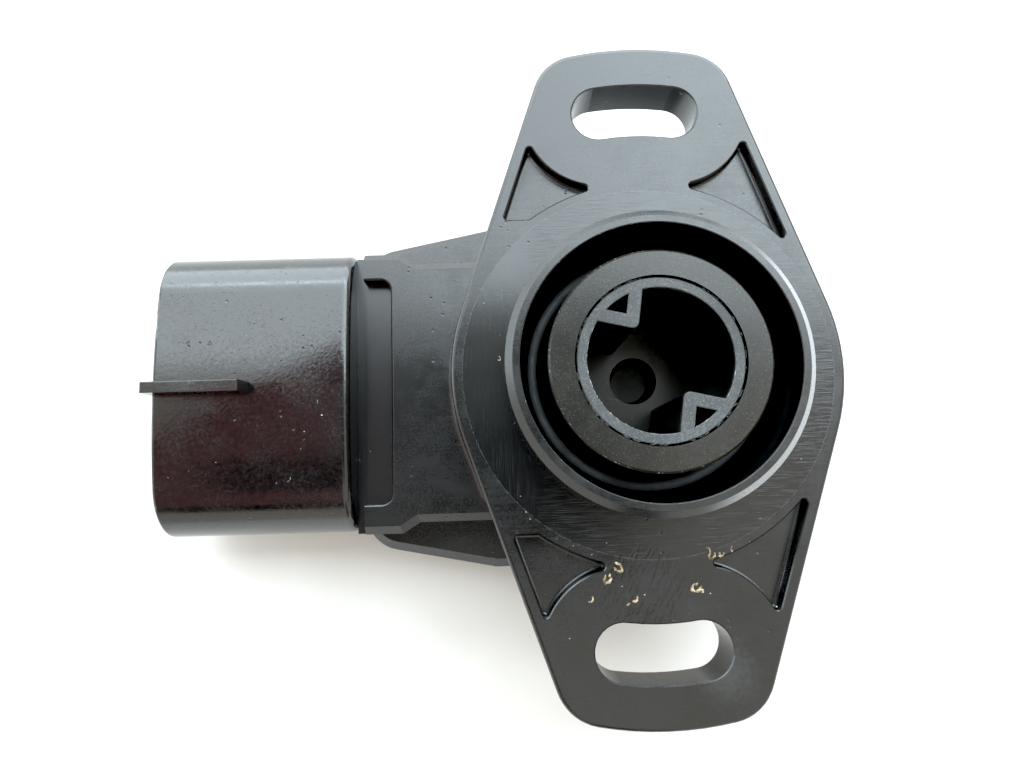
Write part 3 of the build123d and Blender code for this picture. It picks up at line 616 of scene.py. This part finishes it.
        nicked = add_node(tree, "Math", {"operation": "MULTIPLY_ADD"}, {0: nicks, 1: side, 2: swell})
        skin = add_node(tree, "Math", {"operation": "MULTIPLY"}, {0: nicked, 1: zones.socket})
        return skin.outputs[0], filmed.outputs[0]

    def pitting(self, tree: Tree, place: Socket, ragged: Socket) -> Socket:
        """Wire the pits, the pores all over the moulding and the scuffed patch by the lower slot.

        Args:
            tree: the material's node tree.
            place: the place on the piece, in millimetres.
            ragged: a noise that tears the pits' edges.

        Returns:
            How deep a place is pitted.
        """
        holes = []
        for spot, size in self.pits:
            apart = add_node(tree, "VectorMath", {"operation": "DISTANCE"}, {0: place, 1: spot})
            torn = add_node(tree, "Math", {"operation": "MULTIPLY_ADD"},
                            {0: ragged, 1: 3.0 * size, 2: apart.outputs["Value"]})
            holes.append(add_node(tree, "MapRange", None,
                                  {"Value": torn, "From Min": 1.9 * size, "From Max": 2.5 * size,
                                   "To Min": self.pit_share, "To Max": 0.0}))
        cells = add_node(tree, "TexVoronoi", None, {"Vector": place, "Scale": 1 / self.pore_spacing_mm})
        lot = add_node(tree, "SeparateColor", None, {0: cells.outputs["Color"]})
        open_pore = add_node(tree, "Math", {"operation": "LESS_THAN"},
                             {0: lot.outputs[0], 1: self.pore_share})
        rim = self.pore_mm / self.pore_spacing_mm
        near = add_node(tree, "MapRange", None,
                        {"Value": cells.outputs["Distance"], "From Min": rim * 0.4, "From Max": rim,
                         "To Min": 0.9, "To Max": 0.0})
        holes.append(add_node(tree, "Math", {"operation": "MULTIPLY"}, {0: open_pore, 1: near}))
        turned = add_node(tree, "Mapping", {"vector_type": "TEXTURE"},
                          {"Vector": place, "Rotation": (0.0, 0.0, math.radians(self.stroke_turn_deg)),
                           "Scale": (self.stroke_length_mm, self.stroke_width_mm, 1.0)})
        strokes = add_node(tree, "TexNoise", None, {"Vector": turned, "Scale": 1.0, "Detail": 2.0})
        stroke = add_node(tree, "MapRange", None,
                          {"Value": strokes.outputs[0], "From Min": self.stroke_band[0],
                           "From Max": self.stroke_band[1]})
        apart = add_node(tree, "VectorMath", {"operation": "DISTANCE"}, {0: place, 1: self.scuff_mm})
        patch = add_node(tree, "MapRange", {"interpolation_type": "SMOOTHSTEP"},
                         {"Value": apart.outputs["Value"], "From Min": self.scuff_reach_mm * 0.4,
                          "From Max": self.scuff_reach_mm, "To Min": 1.0, "To Max": 0.0})
        holes.append(add_node(tree, "Math", {"operation": "MULTIPLY"}, {0: stroke, 1: patch}))
        dents = holes[0].outputs[0]
        for hole in holes[1:]:
            dents = add_node(tree, "Math", {"operation": "MAXIMUM"}, {0: dents, 1: hole}).outputs[0]
        return dents

    def haze(self, tree: Tree, place: Socket, ragged: Socket) -> Node:
        """Wire the paler haze that is rubbed into the corner beside the lower slot.

        Args:
            tree: the material's node tree.
            place: the place on the piece, in millimetres.
            ragged: a noise that tears its edge.

        Returns:
            How strong the haze is.
        """
        apart = add_node(tree, "VectorMath", {"operation": "DISTANCE"}, {0: place, 1: self.haze_mm})
        torn = add_node(tree, "Math", {"operation": "MULTIPLY_ADD"},
                        {0: ragged, 1: self.haze_reach_mm, 2: apart.outputs["Value"]})
        return add_node(tree, "MapRange", {"interpolation_type": "SMOOTHSTEP"},
                        {"Value": torn, "From Min": self.haze_reach_mm * 0.5,
                         "From Max": self.haze_reach_mm * 1.5, "To Min": self.haze_share, "To Max": 0.0})


@dataclass(frozen=True)
class RolledMetal(Finish):
    """Drawn or rolled metal: fine lines along the stock and a little tarnish."""

    metallic: float = 1.0
    colour: str = "#9a9b9c"
    tarnish: str = "#5c5a57"
    # Real drawing lines are finer; these are as coarse as they need to show.
    line_mm: float = 0.08
    line_length_mm: float = 3.0
    line_depth_mm: float = 0.002
    line_gloss: tuple[float, float] = (-0.08, 0.1)
    tarnish_mm: float = 2.5
    along: Point = (1.0, 0.0, 0.0)

    def wire(self, tree: Tree, surface: Node, place: Socket) -> None:
        """Wire the drawing lines and the tarnish.

        Args:
            tree: the material's node tree.
            surface: the shader to feed.
            place: the place on the piece, in millimetres.
        """
        stretch = tuple(1 / self.line_length_mm if axis else 1 / self.line_mm for axis in self.along)
        drawn = add_node(tree, "VectorMath", {"operation": "MULTIPLY"}, {0: place, 1: stretch})
        lines = add_node(tree, "TexNoise", None, {"Vector": drawn, "Scale": 1.0, "Detail": 2.0})
        spots = add_node(tree, "TexNoise", None,
                         {"Vector": place, "Scale": 1 / self.tarnish_mm, "Detail": 5.0, "Roughness": 0.65})
        dull = add_node(tree, "MapRange", None,
                        {"Value": spots.outputs[0], "From Min": 0.42, "From Max": 0.75})
        skin = add_node(tree, "Mix", {"data_type": "RGBA"},
                        {0: dull, 6: linear(self.colour), 7: linear(self.tarnish)})
        gloss = add_node(tree, "MapRange", None,
                         {"Value": lines.outputs[0], "From Min": 0.25, "From Max": 0.75,
                          "To Min": self.roughness + self.line_gloss[0],
                          "To Max": self.roughness + self.line_gloss[1]})
        relief = add_node(tree, "Bump", None,
                          {"Height": lines.outputs[0], "Distance": self.line_depth_mm * MM,
                           "Strength": 1.0})
        tree.links.new(skin.outputs[2], surface.inputs["Base Color"])
        tree.links.new(gloss.outputs[0], surface.inputs["Roughness"])
        tree.links.new(relief.outputs[0], surface.inputs["Normal"])


@dataclass(frozen=True)
class GlassEpoxy(Finish):
    """Resin board over woven glass: a faint square weave under a satin skin."""

    resin: str = "#5f6a44"
    glass: str = "#7c8660"
    thread_mm: float = 0.45
    thread_depth_mm: float = 0.006
    wander: float = 0.6

    def wire(self, tree: Tree, surface: Node, place: Socket) -> None:
        """Wire the weave.

        Args:
            tree: the material's node tree.
            surface: the shader to feed.
            place: the place on the piece, in millimetres.
        """
        # A wave texture of scale one has a period of a tenth of pi.
        scale = math.pi / 10 / self.thread_mm
        warp, weft = (add_node(tree, "TexWave", {"bands_direction": way},
                               {"Vector": place, "Scale": scale, "Distortion": self.wander})
                      for way in "XY")
        weave = add_node(tree, "Math", {"operation": "MULTIPLY"}, {0: warp.outputs[1], 1: weft.outputs[1]})
        cloth = add_node(tree, "Mix", {"data_type": "RGBA"},
                         {0: weave, 6: linear(self.resin), 7: linear(self.glass)})
        relief = add_node(tree, "Bump", None,
                          {"Height": weave, "Distance": self.thread_depth_mm * MM, "Strength": 1.0})
        surface.inputs["Roughness"].default_value = self.roughness
        tree.links.new(cloth.outputs[2], surface.inputs["Base Color"])
        tree.links.new(relief.outputs[0], surface.inputs["Normal"])


@dataclass(frozen=True)
class Crumbly(Finish):
    """Dry matter in two tones: resin flakes, printed ink, cured bead or paper."""

    pale: str = "#d2c6a2"
    dark: str = "#8f7a4c"
    patch_mm: float = 0.3
    lump_mm: float = 0.1
    lump_depth_mm: float = 0.02

    def wire(self, tree: Tree, surface: Node, place: Socket) -> None:
        """Wire the two tones and the lumps.

        Args:
            tree: the material's node tree.
            surface: the shader to feed.
            place: the place on the piece, in millimetres.
        """
        patches = add_node(tree, "TexNoise", None,
                           {"Vector": place, "Scale": 1 / self.patch_mm, "Detail": 3.0})
        tone = add_node(tree, "MapRange", None,
                        {"Value": patches.outputs[0], "From Min": 0.38, "From Max": 0.62})
        mixed = add_node(tree, "Mix", {"data_type": "RGBA"},
                         {0: tone, 6: linear(self.pale), 7: linear(self.dark)})
        lumps = add_node(tree, "TexNoise", None,
                         {"Vector": place, "Scale": 1 / self.lump_mm, "Detail": 2.0})
        relief = add_node(tree, "Bump", None,
                          {"Height": lumps.outputs[0], "Distance": self.lump_depth_mm * MM,
                           "Strength": 1.0})
        surface.inputs["Roughness"].default_value = self.roughness
        tree.links.new(mixed.outputs[2], surface.inputs["Base Color"])
        tree.links.new(relief.outputs[0], surface.inputs["Normal"])


# Dark grey glass-filled polyester, injection moulded: satin, faintly mottled, with a cool bloom.
HOUSING = FacedMoulding("glass_filled_polyester_housing", 0.27, grain_depth_mm=0.003, gloss_spread=0.18)
# The same compound in a plainer mould, lapped flat at the back.
COVER = MouldedPlastic("glass_filled_polyester_cover", 0.5, grain_mm=0.25, grain_depth_mm=0.01)
# Mineral-filled polyester of the rotor: its rubbed top has grains painted pale as glints, and its walls are
# glossy black.
ROTOR = MouldedPlastic("mineral_filled_polyester_rotor", 0.26, ior=1.57, pigment="#040404",
                       bloom="#080807", rubbed="#1c1a15", bare_and_glint="#302f2b", bare_mm=0.08, bare_share=0.2,
                       walls=0.15, grain_mm=0.16, grain_depth_mm=0.004, dust_spacing_mm=0.7,
                       dust_size=0.03)
# Unpainted nylon of the drive sleeve: paler, dull and rubbed, with torn grains painted pale as glints.
SLEEVE = MouldedPlastic("rubbed_nylon_sleeve", 0.55, ior=1.5, pigment="#030303", bloom="#050505",
                        rubbed="#414344", bare_and_glint="#5c5f60", bare_mm=0.07, bare_share=0.3, walls=0.3,
                        grain_mm=0.14, grain_depth_mm=0.012, dust_spacing_mm=0.5, dust_size=0.03)
# Music wire with a dark drawing skin, dull with old grease.
SPRING = RolledMetal("drawn_music_wire", 0.82, colour="#8a8d8f", tarnish="#75787a", along=(1.0, 1.0, 0.0))
# Hardened steel with a black oxide skin.
PIN = RolledMetal("blackened_steel_pin", 0.5, colour="#444442", tarnish="#31312f", along=(0.0, 0.0, 1.0))
# Rolled phosphor bronze with a warm shine.
BRONZE = RolledMetal("rolled_phosphor_bronze", 0.3, colour="#c79a5b", tarnish="#8a6234")
# Hot-dipped tin: pale, a little grey, softly reflecting.
TIN = RolledMetal("tinned_copper_alloy", 0.34, colour="#cfcac0", tarnish="#96928a")
# Woven glass in epoxy resin.
BOARD = GlassEpoxy("glass_epoxy_board", 0.45)
# Screen-printed carbon ink: dead matt black.
INK = Crumbly("printed_carbon_ink", 0.7, pale="#1a1a1b", dark="#0c0c0d", patch_mm=0.5, lump_mm=0.06,
              lump_depth_mm=0.006)
# Cured silicone bead: black with a satin skin and slow lumps.
BEAD = Crumbly("cured_silicone_bead", 0.38, pale="#141415", dark="#1d1d1f", patch_mm=2.0, lump_mm=1.2,
               lump_depth_mm=0.05)
# Brittle flakes of dried thread sealer: cream with brown hollows.
FLAKE = Crumbly("dried_sealer_flake", 0.6, pale="#c4b296", dark="#5e4f35")
# Torn plastic along sharp edges: stress-whitened.
BURR = Crumbly("whitened_plastic_burr", 0.6, pale="#a7a9aa", dark="#6a6c6d", patch_mm=0.2)
# Plastic dust and lint: off-white.
LINT = Crumbly("white_lint", 0.8, pale="#c9c8c2", dark="#98978f", patch_mm=0.1)
# Smooth white card under the part.
CARD = Crumbly("white_card", 0.75, pale="#dddad8", dark="#d8d5d3", patch_mm=14.0, lump_mm=0.6,
               lump_depth_mm=0.004)
# Cloths round the lens, seen only as dim patches in glossy places.
BLACK_CLOTH = Crumbly("black_lens_cloth", 0.9, pale="#0a0a0b", dark="#101011", patch_mm=30.0, lump_mm=5.0)
GREY_CLOTH = Crumbly("grey_lens_cloth", 0.9, pale="#8c8c86", dark="#94948f", patch_mm=30.0, lump_mm=5.0)
DIM_CLOTH = Crumbly("dim_lens_cloth", 0.9, pale="#4a4a49", dark="#525250", patch_mm=30.0, lump_mm=5.0)
BROWN_CLOTH = Crumbly("brown_lens_cloth", 0.9, pale="#9c686b", dark="#935f62", patch_mm=30.0, lump_mm=5.0)


def dress(piece: bpy.types.Object, finish: Finish) -> None:
    """Give a piece its finish.

    Args:
        piece: a CAD node or a new piece.
        finish: the finish to put on it.
    """
    if not piece.material_slots:
        piece.data.materials.append(finish.material())
    for slot in piece.material_slots:
        slot.material = finish.material()
    log.info("%s dressed in %s", piece.name, finish.name)


@dataclass
class NodeSet:
    """CAD nodes that keep their shapes and take a finish."""

    finishes: dict[str, Finish]

    def dress(self) -> None:
        """Put each node's finish on it."""
        for node, finish in self.finishes.items():
            dress(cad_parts[node], finish)


@dataclass
class ReturnSpring:
    """The coil round the drum: its foot is held by the housing and its top is driven by the drum."""

    held_mm: float = -2.7
    driven_mm: float = -1.4
    merge_mm: float = 0.0005
    smooth_deg: float = 35.0

    def build(self) -> None:
        """Copy the CAD coil, merge its doubled points, shade it smooth, dress the copy and hide the CAD
        coil.
        """
        coil = bpy.data.objects.new("wound_coil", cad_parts["return_spring"].data.copy())
        bpy.context.collection.objects.link(coil)
        bpy.ops.object.select_all(action="DESELECT")
        bpy.context.view_layer.objects.active = coil
        coil.select_set(True)
        bpy.ops.object.mode_set(mode="EDIT")
        bpy.ops.mesh.select_all(action="SELECT")
        bpy.ops.mesh.remove_doubles(threshold=self.merge_mm * MM)
        bpy.ops.object.mode_set(mode="OBJECT")
        bpy.ops.object.shade_smooth_by_angle(angle=math.radians(self.smooth_deg))
        dress(coil, SPRING)
        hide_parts("return_spring")
        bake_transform(coil)


@dataclass
class Flake:
    """One loose bit: where it lies, its size, how it is turned, how thick it is and how far it curls."""

    place_mm: Point
    size_mm: float
    turn_deg: float = 0.0
    thick_mm: float = 0.24
    sweep_deg: float = 250.0
    form: FlakeForm = FlakeForm.CURL


def mote(place_mm: Point, size_mm: float) -> Flake:
    """Give one crumb of lint, with a skin that is ragged for its size."""
    return Flake(place_mm, size_mm, thick_mm=size_mm / 2, form=FlakeForm.CRUMB)


@dataclass
class Debris:
    """Flakes of old sealer, fibres and lint that stick to the flange and the socket."""

    curl_sides: int = 6
    curl_steps: int = 14
    ragged: float = 0.42
    squash: Point = (1.0, 0.72, 0.7)
    smooth_deg: float = 40.0
    flakes: list[Flake] = field(default_factory=lambda: [
        Flake((-3.23, -15.39, 0.0), 0.96, 125.0, 0.26, 290.0),
        Flake((-4.1, -16.2, 0.0), 0.86, 70.0, 0.24, 300.0),
        Flake((-5.49, -17.69, 0.0), 0.6, 60.0, 0.16, 200.0),
        Flake((-2.69, -18.06, 0.0), 0.5, 10.0, 0.15, 120.0),
        Flake((-2.06, -17.8, 0.0), 0.6, 60.0, 0.2, 220.0),
        Flake((2.7, -17.1, 0.0), 1.02, 20.0, 0.26, 300.0),
        Flake((3.05, -17.4, 0.0), 0.54, 200.0, 0.2, 240.0),
        Flake((3.75, -14.35, 0.0), 0.6, 115.0, 0.16, 150.0),
        Flake((4.05, -14.7, 0.0), 0.72, 40.0, 0.2, 280.0),
        Flake((4.82, -14.62, 0.0), 0.6, 40.0, 0.18, 260.0),
        Flake((5.8, -14.26, 0.0), 0.6, 250.0, 0.13, 120.0),
    ])
    motes: list[Flake] = field(default_factory=lambda: [
        mote((-10.2, -10.95, 0.0), 0.13), mote((-9.9, -11.5, 0.0), 0.11),
        mote((-6.65, -13.64, 0.0), 0.1), mote((-1.3, -17.5, 0.0), 0.13),
        mote((3.77, -17.56, 0.0), 0.12), mote((-3.01, -16.81, 0.0), 0.1),
        mote((8.8, -18.72, 0.0), 0.14), mote((-7.2, -20.54, 0.0), 0.1),
        mote((-27.34, -2.41, -5.26), 0.15), mote((-28.86, -3.78, -5.33), 0.09),
        mote((-30.92, -1.96, -5.24), 0.07), mote((-36.43, -6.18, -5.54), 0.07),
        mote((-29.18, -5.24, -5.44), 0.06), mote((-33.97, 4.84, -5.37), 0.06),
    ])
    fibres: list[Flake] = field(default_factory=lambda: [
        Flake((-31.0, -8.1, -5.77), 0.7, 200.0, 0.028, 130.0),
        Flake((-30.4, -7.75, -5.71), 0.6, 30.0, 0.028, 110.0),
        Flake((-27.8, -1.25, -5.22), 0.3, 80.0, 0.025, 150.0),
        Flake((-11.95, 1.2, 0.0), 0.36, 100.0, 0.05, 250.0),
        Flake((4.2, 24.2, -1.4), 0.9, 300.0, 0.045, 120.0),
    ])

    def start(self, flake: Flake) -> None:
        """Add the primitive that a bit starts from and leave it in edit mode, all selected.

        Args:
            flake: the bit to start.
        """
        half = flake.size_mm * MM / 2
        bpy.ops.object.select_all(action="DESELECT")
        if flake.form is FlakeForm.CURL:
            reach = half - flake.thick_mm * MM / 2
            bpy.ops.mesh.primitive_circle_add(vertices=self.curl_sides, radius=flake.thick_mm * MM / 2,
                                              fill_type="NGON", location=(reach, 0.0, 0.0),
                                              rotation=(math.pi / 2, 0.0, 0.0))
            bpy.ops.object.transform_apply()
            bpy.ops.object.mode_set(mode="EDIT")
            bpy.ops.mesh.select_all(action="SELECT")
            bpy.ops.mesh.spin(steps=self.curl_steps, angle=math.radians(flake.sweep_deg),
                              center=(0.0, 0.0, 0.0), axis=(0.0, 0.0, 1.0))
        else:
            bpy.ops.mesh.primitive_ico_sphere_add(subdivisions=2, radius=half)
            bpy.ops.object.mode_set(mode="EDIT")
        bpy.ops.mesh.select_all(action="SELECT")
        bpy.ops.mesh.normals_make_consistent(inside=False)

    def build_flake(self, name: str, flake: Flake, seed: int) -> bpy.types.Object:
        """Model one bit where it lies.

        Args:
            name: the piece's name.
            flake: its place, size, turn and form.
            seed: what its ragged skin is drawn from.

        Returns:
            The finished piece.
        """
        self.start(flake)
        piece = bpy.context.object
        piece.name = name
        bpy.ops.transform.vertex_random(offset=flake.thick_mm * MM * self.ragged, seed=seed)
        bpy.ops.transform.resize(value=self.squash)
        bpy.ops.transform.rotate(value=-math.radians(flake.turn_deg), orient_axis="Z",
                                 center_override=(0.0, 0.0, 0.0))
        bpy.ops.transform.translate(value=metres(flake.place_mm))
        bpy.ops.object.mode_set(mode="OBJECT")
        bpy.ops.object.shade_smooth_by_angle(angle=math.radians(self.smooth_deg))
        return piece

    def build(self) -> None:
        """Model every flake, mote and fibre, dress it and let it ride on the housing."""
        for kind, lot, finish in (("sealer_flake", self.flakes, FLAKE), ("lint_mote", self.motes, LINT),
                                  ("lint_fibre", self.fibres, LINT)):
            for number, flake in enumerate(lot, 1):
                piece = self.build_flake(f"{kind}_{number}", flake, number)
                dress(piece, finish)
                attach(piece, Body.STATOR.value)


@dataclass
class Burrs:
    """Torn slivers along a round edge, joined into one piece."""

    name: str
    radius_mm: float
    level_mm: float
    arc_deg: tuple[float, float]
    count: int
    longest_mm: float
    thick_mm: float
    body: Body
    finish: Finish
    ragged_mm: float = 0.16
    length_share: tuple[float, float] = (0.25, 1.0)
    thick_share: tuple[float, float] = (0.6, 1.2)
    stray_share: float = 0.3
    turn_rad: float = 0.3

    def model_sliver(self) -> bpy.types.Object:
        """Model one ragged sliver, a millimetre across, that the others are copied from.

        Returns:
            The sliver.
        """
        bpy.ops.object.select_all(action="DESELECT")
        bpy.ops.mesh.primitive_ico_sphere_add(subdivisions=1, radius=0.5 * MM)
        bpy.ops.object.mode_set(mode="EDIT")
        bpy.ops.mesh.select_all(action="SELECT")
        bpy.ops.transform.vertex_random(offset=self.ragged_mm * MM, seed=self.count)
        bpy.ops.object.mode_set(mode="OBJECT")
        return bpy.context.object

    def build(self) -> None:
        """Copy the sliver along the edge, each copy turned and sized its own way, and join the copies."""
        draw = random.Random(self.count)
        sliver = self.model_sliver()
        copies = []
        for _ in range(self.count):
            angle = math.radians(draw.uniform(*self.arc_deg))
            size = (draw.uniform(*self.length_share) * self.longest_mm,
                    draw.uniform(*self.thick_share) * self.thick_mm,
                    draw.uniform(*self.thick_share) * self.thick_mm)
            reach = self.radius_mm + draw.uniform(-self.stray_share, self.stray_share) * self.thick_mm
            place = Matrix.Translation(metres((reach * math.cos(angle), reach * math.sin(angle),
                                               self.level_mm)))
            askew = draw.uniform(-self.turn_rad, self.turn_rad)
            turn = Matrix.Rotation(angle + math.pi / 2 + askew, 4, "Z")
            copy = sliver.copy()
            copy.data = sliver.data.copy()
            copy.data.transform(place @ turn @ Matrix.Diagonal((*size, 1.0)))
            bpy.context.collection.objects.link(copy)
            copies.append(copy)
        bpy.data.objects.remove(sliver)
        bpy.ops.object.select_all(action="DESELECT")
        for copy in copies:
            copy.select_set(True)
        bpy.context.view_layer.objects.active = copies[0]
        bpy.ops.object.join()
        piece = bpy.context.object
        piece.name = self.name
        dress(piece, self.finish)
        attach(piece, self.body.value)


@dataclass
class Softbox:
    """One flat light: its middle, its size, the point it faces, and how bright its face is."""

    name: str
    middle_mm: Point
    size_mm: tuple[float, float]
    faces_mm: Point
    radiance: float

    def hang(self) -> None:
        """Make the light."""
        lamp = bpy.data.lights.new(self.name, "AREA")
        lamp.shape = "RECTANGLE"
        lamp.size, lamp.size_y = self.size_mm[0] * MM, self.size_mm[1] * MM
        lamp.color = DAYLIGHT
        # A flat lamp's face shines with a quarter of its power per area.
        lamp.energy = 4 * self.radiance * lamp.size * lamp.size_y
        light = bpy.data.objects.new(self.name, lamp)
        light.location = metres(self.middle_mm)
        away = Vector(metres(self.faces_mm)) - light.location
        light.rotation_euler = away.to_track_quat("-Z", "Y").to_euler()
        bpy.context.collection.objects.link(light)
        log.info("%s hung", self.name)


@dataclass
class Flag:
    """One cloth near the lens: its middle, its size, what it is made of, its turn and its tilt."""

    name: str
    middle_mm: Point
    size_mm: tuple[float, float]
    cloth: Finish
    turn_deg: float = 0.0
    tilt_deg: float = 0.0

    def hang(self) -> None:
        """Hang the cloth where only glossy places see it."""
        bpy.ops.object.select_all(action="DESELECT")
        bpy.ops.mesh.primitive_plane_add(size=1.0, location=metres(self.middle_mm))
        flag = bpy.context.object
        flag.name = self.name
        flag.scale = (self.size_mm[0] * MM, self.size_mm[1] * MM, 1.0)
        flag.rotation_euler = (math.radians(self.tilt_deg), 0.0, math.radians(self.turn_deg))
        flag.visible_camera = flag.visible_diffuse = flag.visible_shadow = False
        dress(flag, self.cloth)


@dataclass
class Studio:
    """The pale floor, the soft light and the camera."""

    floor_z_mm: float = CAD_BOX[0].z / MM
    floor_mm: float = 3000.0
    lens_mm: float = 25.411
    camera_mm: Point = (-11.97281, -8.42188, 57.00055)
    camera_turn_rad: Point = (0.131916505, -0.0134218207, -0.0291386558)
    sensor_mm: float = 36.0
    nearest_mm: float = 0.5
    room: tuple[float, float, float] = (1.0, 0.98, 0.9)
    room_strength: float = 1.15
    black_point: float = 0.008
    flags: list[Flag] = field(default_factory=lambda: [
        Flag("lens_flag", (-10.0, -9.0, 59.0), (27.0, 20.0), BLACK_CLOTH),
        Flag("neck_flag", (-30.0, 5.0, 59.5), (18.0, 22.0), DIM_CLOTH),
        Flag("window_flag", (-36.0, 16.0, 59.4), (8.0, 20.0), DIM_CLOTH),
        Flag("low_flag", (-48.0, -30.5, 59.0), (32.0, 27.0), BLACK_CLOTH),
        Flag("grey_flag", (-15.0, -1.5, 60.0), (50.0, 46.0), GREY_CLOTH),
        Flag("brown_flag", (-48.5, -14.5, 60.5), (74.0, 48.0), BROWN_CLOTH, 43.0),
        Flag("brown_low_flag", (-70.0, -62.0, 61.0), (66.0, 78.0), BROWN_CLOTH),
        Flag("far_flag", (-77.0, -137.0, 60.0), (78.0, 72.0), BLACK_CLOTH),
        Flag("bevel_flag", (-2.0, -100.0, 20.0), (34.0, 60.0), BLACK_CLOTH, 0.0, 90.0),
    ])
    softboxes: list[Softbox] = field(default_factory=lambda: [
        Softbox("left_box", (-195.0, 330.0, 400.0), (270.0, 480.0), (-195.0, 330.0, 0.0), 3.1),
        Softbox("middle_box", (0.0, 330.0, 400.0), (120.0, 480.0), (0.0, 330.0, 0.0), 3.6),
        Softbox("right_box", (315.0, 330.0, 400.0), (510.0, 480.0), (315.0, 330.0, 0.0), 4.6),
        Softbox("window", (0.0, 900.0, 350.0), (1600.0, 800.0), (0.0, 0.0, 100.0), 4.1),
        Softbox("side_window", (-600.0, 280.0, 150.0), (640.0, 300.0), (0.0, 0.0, 0.0), 3.0),
    ])

    def build_floor(self) -> None:
        """Lay the pale floor under the part."""
        bpy.ops.object.select_all(action="DESELECT")
        bpy.ops.mesh.primitive_plane_add(size=self.floor_mm * MM, location=(0.0, 0.0, self.floor_z_mm * MM))
        floor = bpy.context.object
        floor.name = "floor"
        dress(floor, CARD)

    def build_lights(self) -> None:
        """Hang the softboxes and light the room."""
        for softbox in self.softboxes:
            softbox.hang()
        world = bpy.data.worlds.new("soft_room")
        bpy.context.scene.world = world
        world.use_nodes = True
        room = world.node_tree.nodes["Background"]
        room.inputs["Color"].default_value = (*self.room, 1.0)
        room.inputs["Strength"].default_value = self.room_strength

    def build_camera(self) -> None:
        """Set the camera at the photograph's viewpoint."""
        view = bpy.data.cameras.new("camera")
        view.sensor_fit = "HORIZONTAL"
        view.sensor_width = self.sensor_mm
        view.lens = self.lens_mm
        view.clip_start = self.nearest_mm * MM
        camera = bpy.data.objects.new("camera", view)
        turn_x, turn_y, turn_z = self.camera_turn_rad
        turn = (Matrix.Rotation(turn_z, 4, "Z") @ Matrix.Rotation(turn_x, 4, "X")
                @ Matrix.Rotation(turn_y, 4, "Y"))
        camera.matrix_world = Matrix.Translation(metres(self.camera_mm)) @ turn
        bpy.context.collection.objects.link(camera)
        bpy.context.scene.camera = camera

    def build(self) -> None:
        """Build the whole studio."""
        self.build_floor()
        for flag in self.flags:
            flag.hang()
        self.build_lights()
        self.build_camera()
        view = bpy.context.scene.view_settings
        view.view_transform = "Standard"
        # A camera's black point, so that deep gaps come out black.
        view.use_curve_mapping = True
        view.curve_mapping.black_level = (self.black_point, self.black_point, self.black_point)
        view.curve_mapping.update()


def main() -> None:
    """Dress the CAD nodes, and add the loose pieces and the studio."""
    logging.basicConfig(level=logging.INFO, format="%(name)s: %(message)s")
    NodeSet({"housing": HOUSING, "rear_cover": COVER, "cover_sealant": BEAD, "pivot_pin": PIN,
             "return_spring": SPRING, "spring_washer": SPRING}).dress()
    NodeSet({"rotor_drum": ROTOR, "drive_sleeve": SLEEVE, "contact_wiper": BRONZE}).dress()
    circuits = ("supply", "signal", "ground")
    NodeSet({"resistor_substrate": BOARD, "resistor_track": INK, "collector_track": INK,
             **{f"{kind}_{circuit}": TIN for kind in ("terminal", "lead", "trace") for circuit in circuits},
             }).dress()
    ReturnSpring().build()
    Debris().build()
    for burrs in (
        Burrs("sleeve_bore_burrs", 5.51, 4.6, (150.0, 350.0), 60, 0.4, 0.05, Body.ROTOR, BURR),
        Burrs("sleeve_rim_flash", 6.3, 4.62, (100.0, 420.0), 75, 0.6, 0.075, Body.ROTOR, SLEEVE),
        Burrs("drum_rim_burrs", 8.3, 4.68, (95.0, 290.0), 40, 0.25, 0.04, Body.ROTOR, BURR),
        Burrs("lip_burrs", 10.5, 4.85, (95.0, 290.0), 55, 0.25, 0.04, Body.STATOR, BURR),
    ):
        burrs.build()
    Studio().build()


if __name__ == "__main__":
    main()
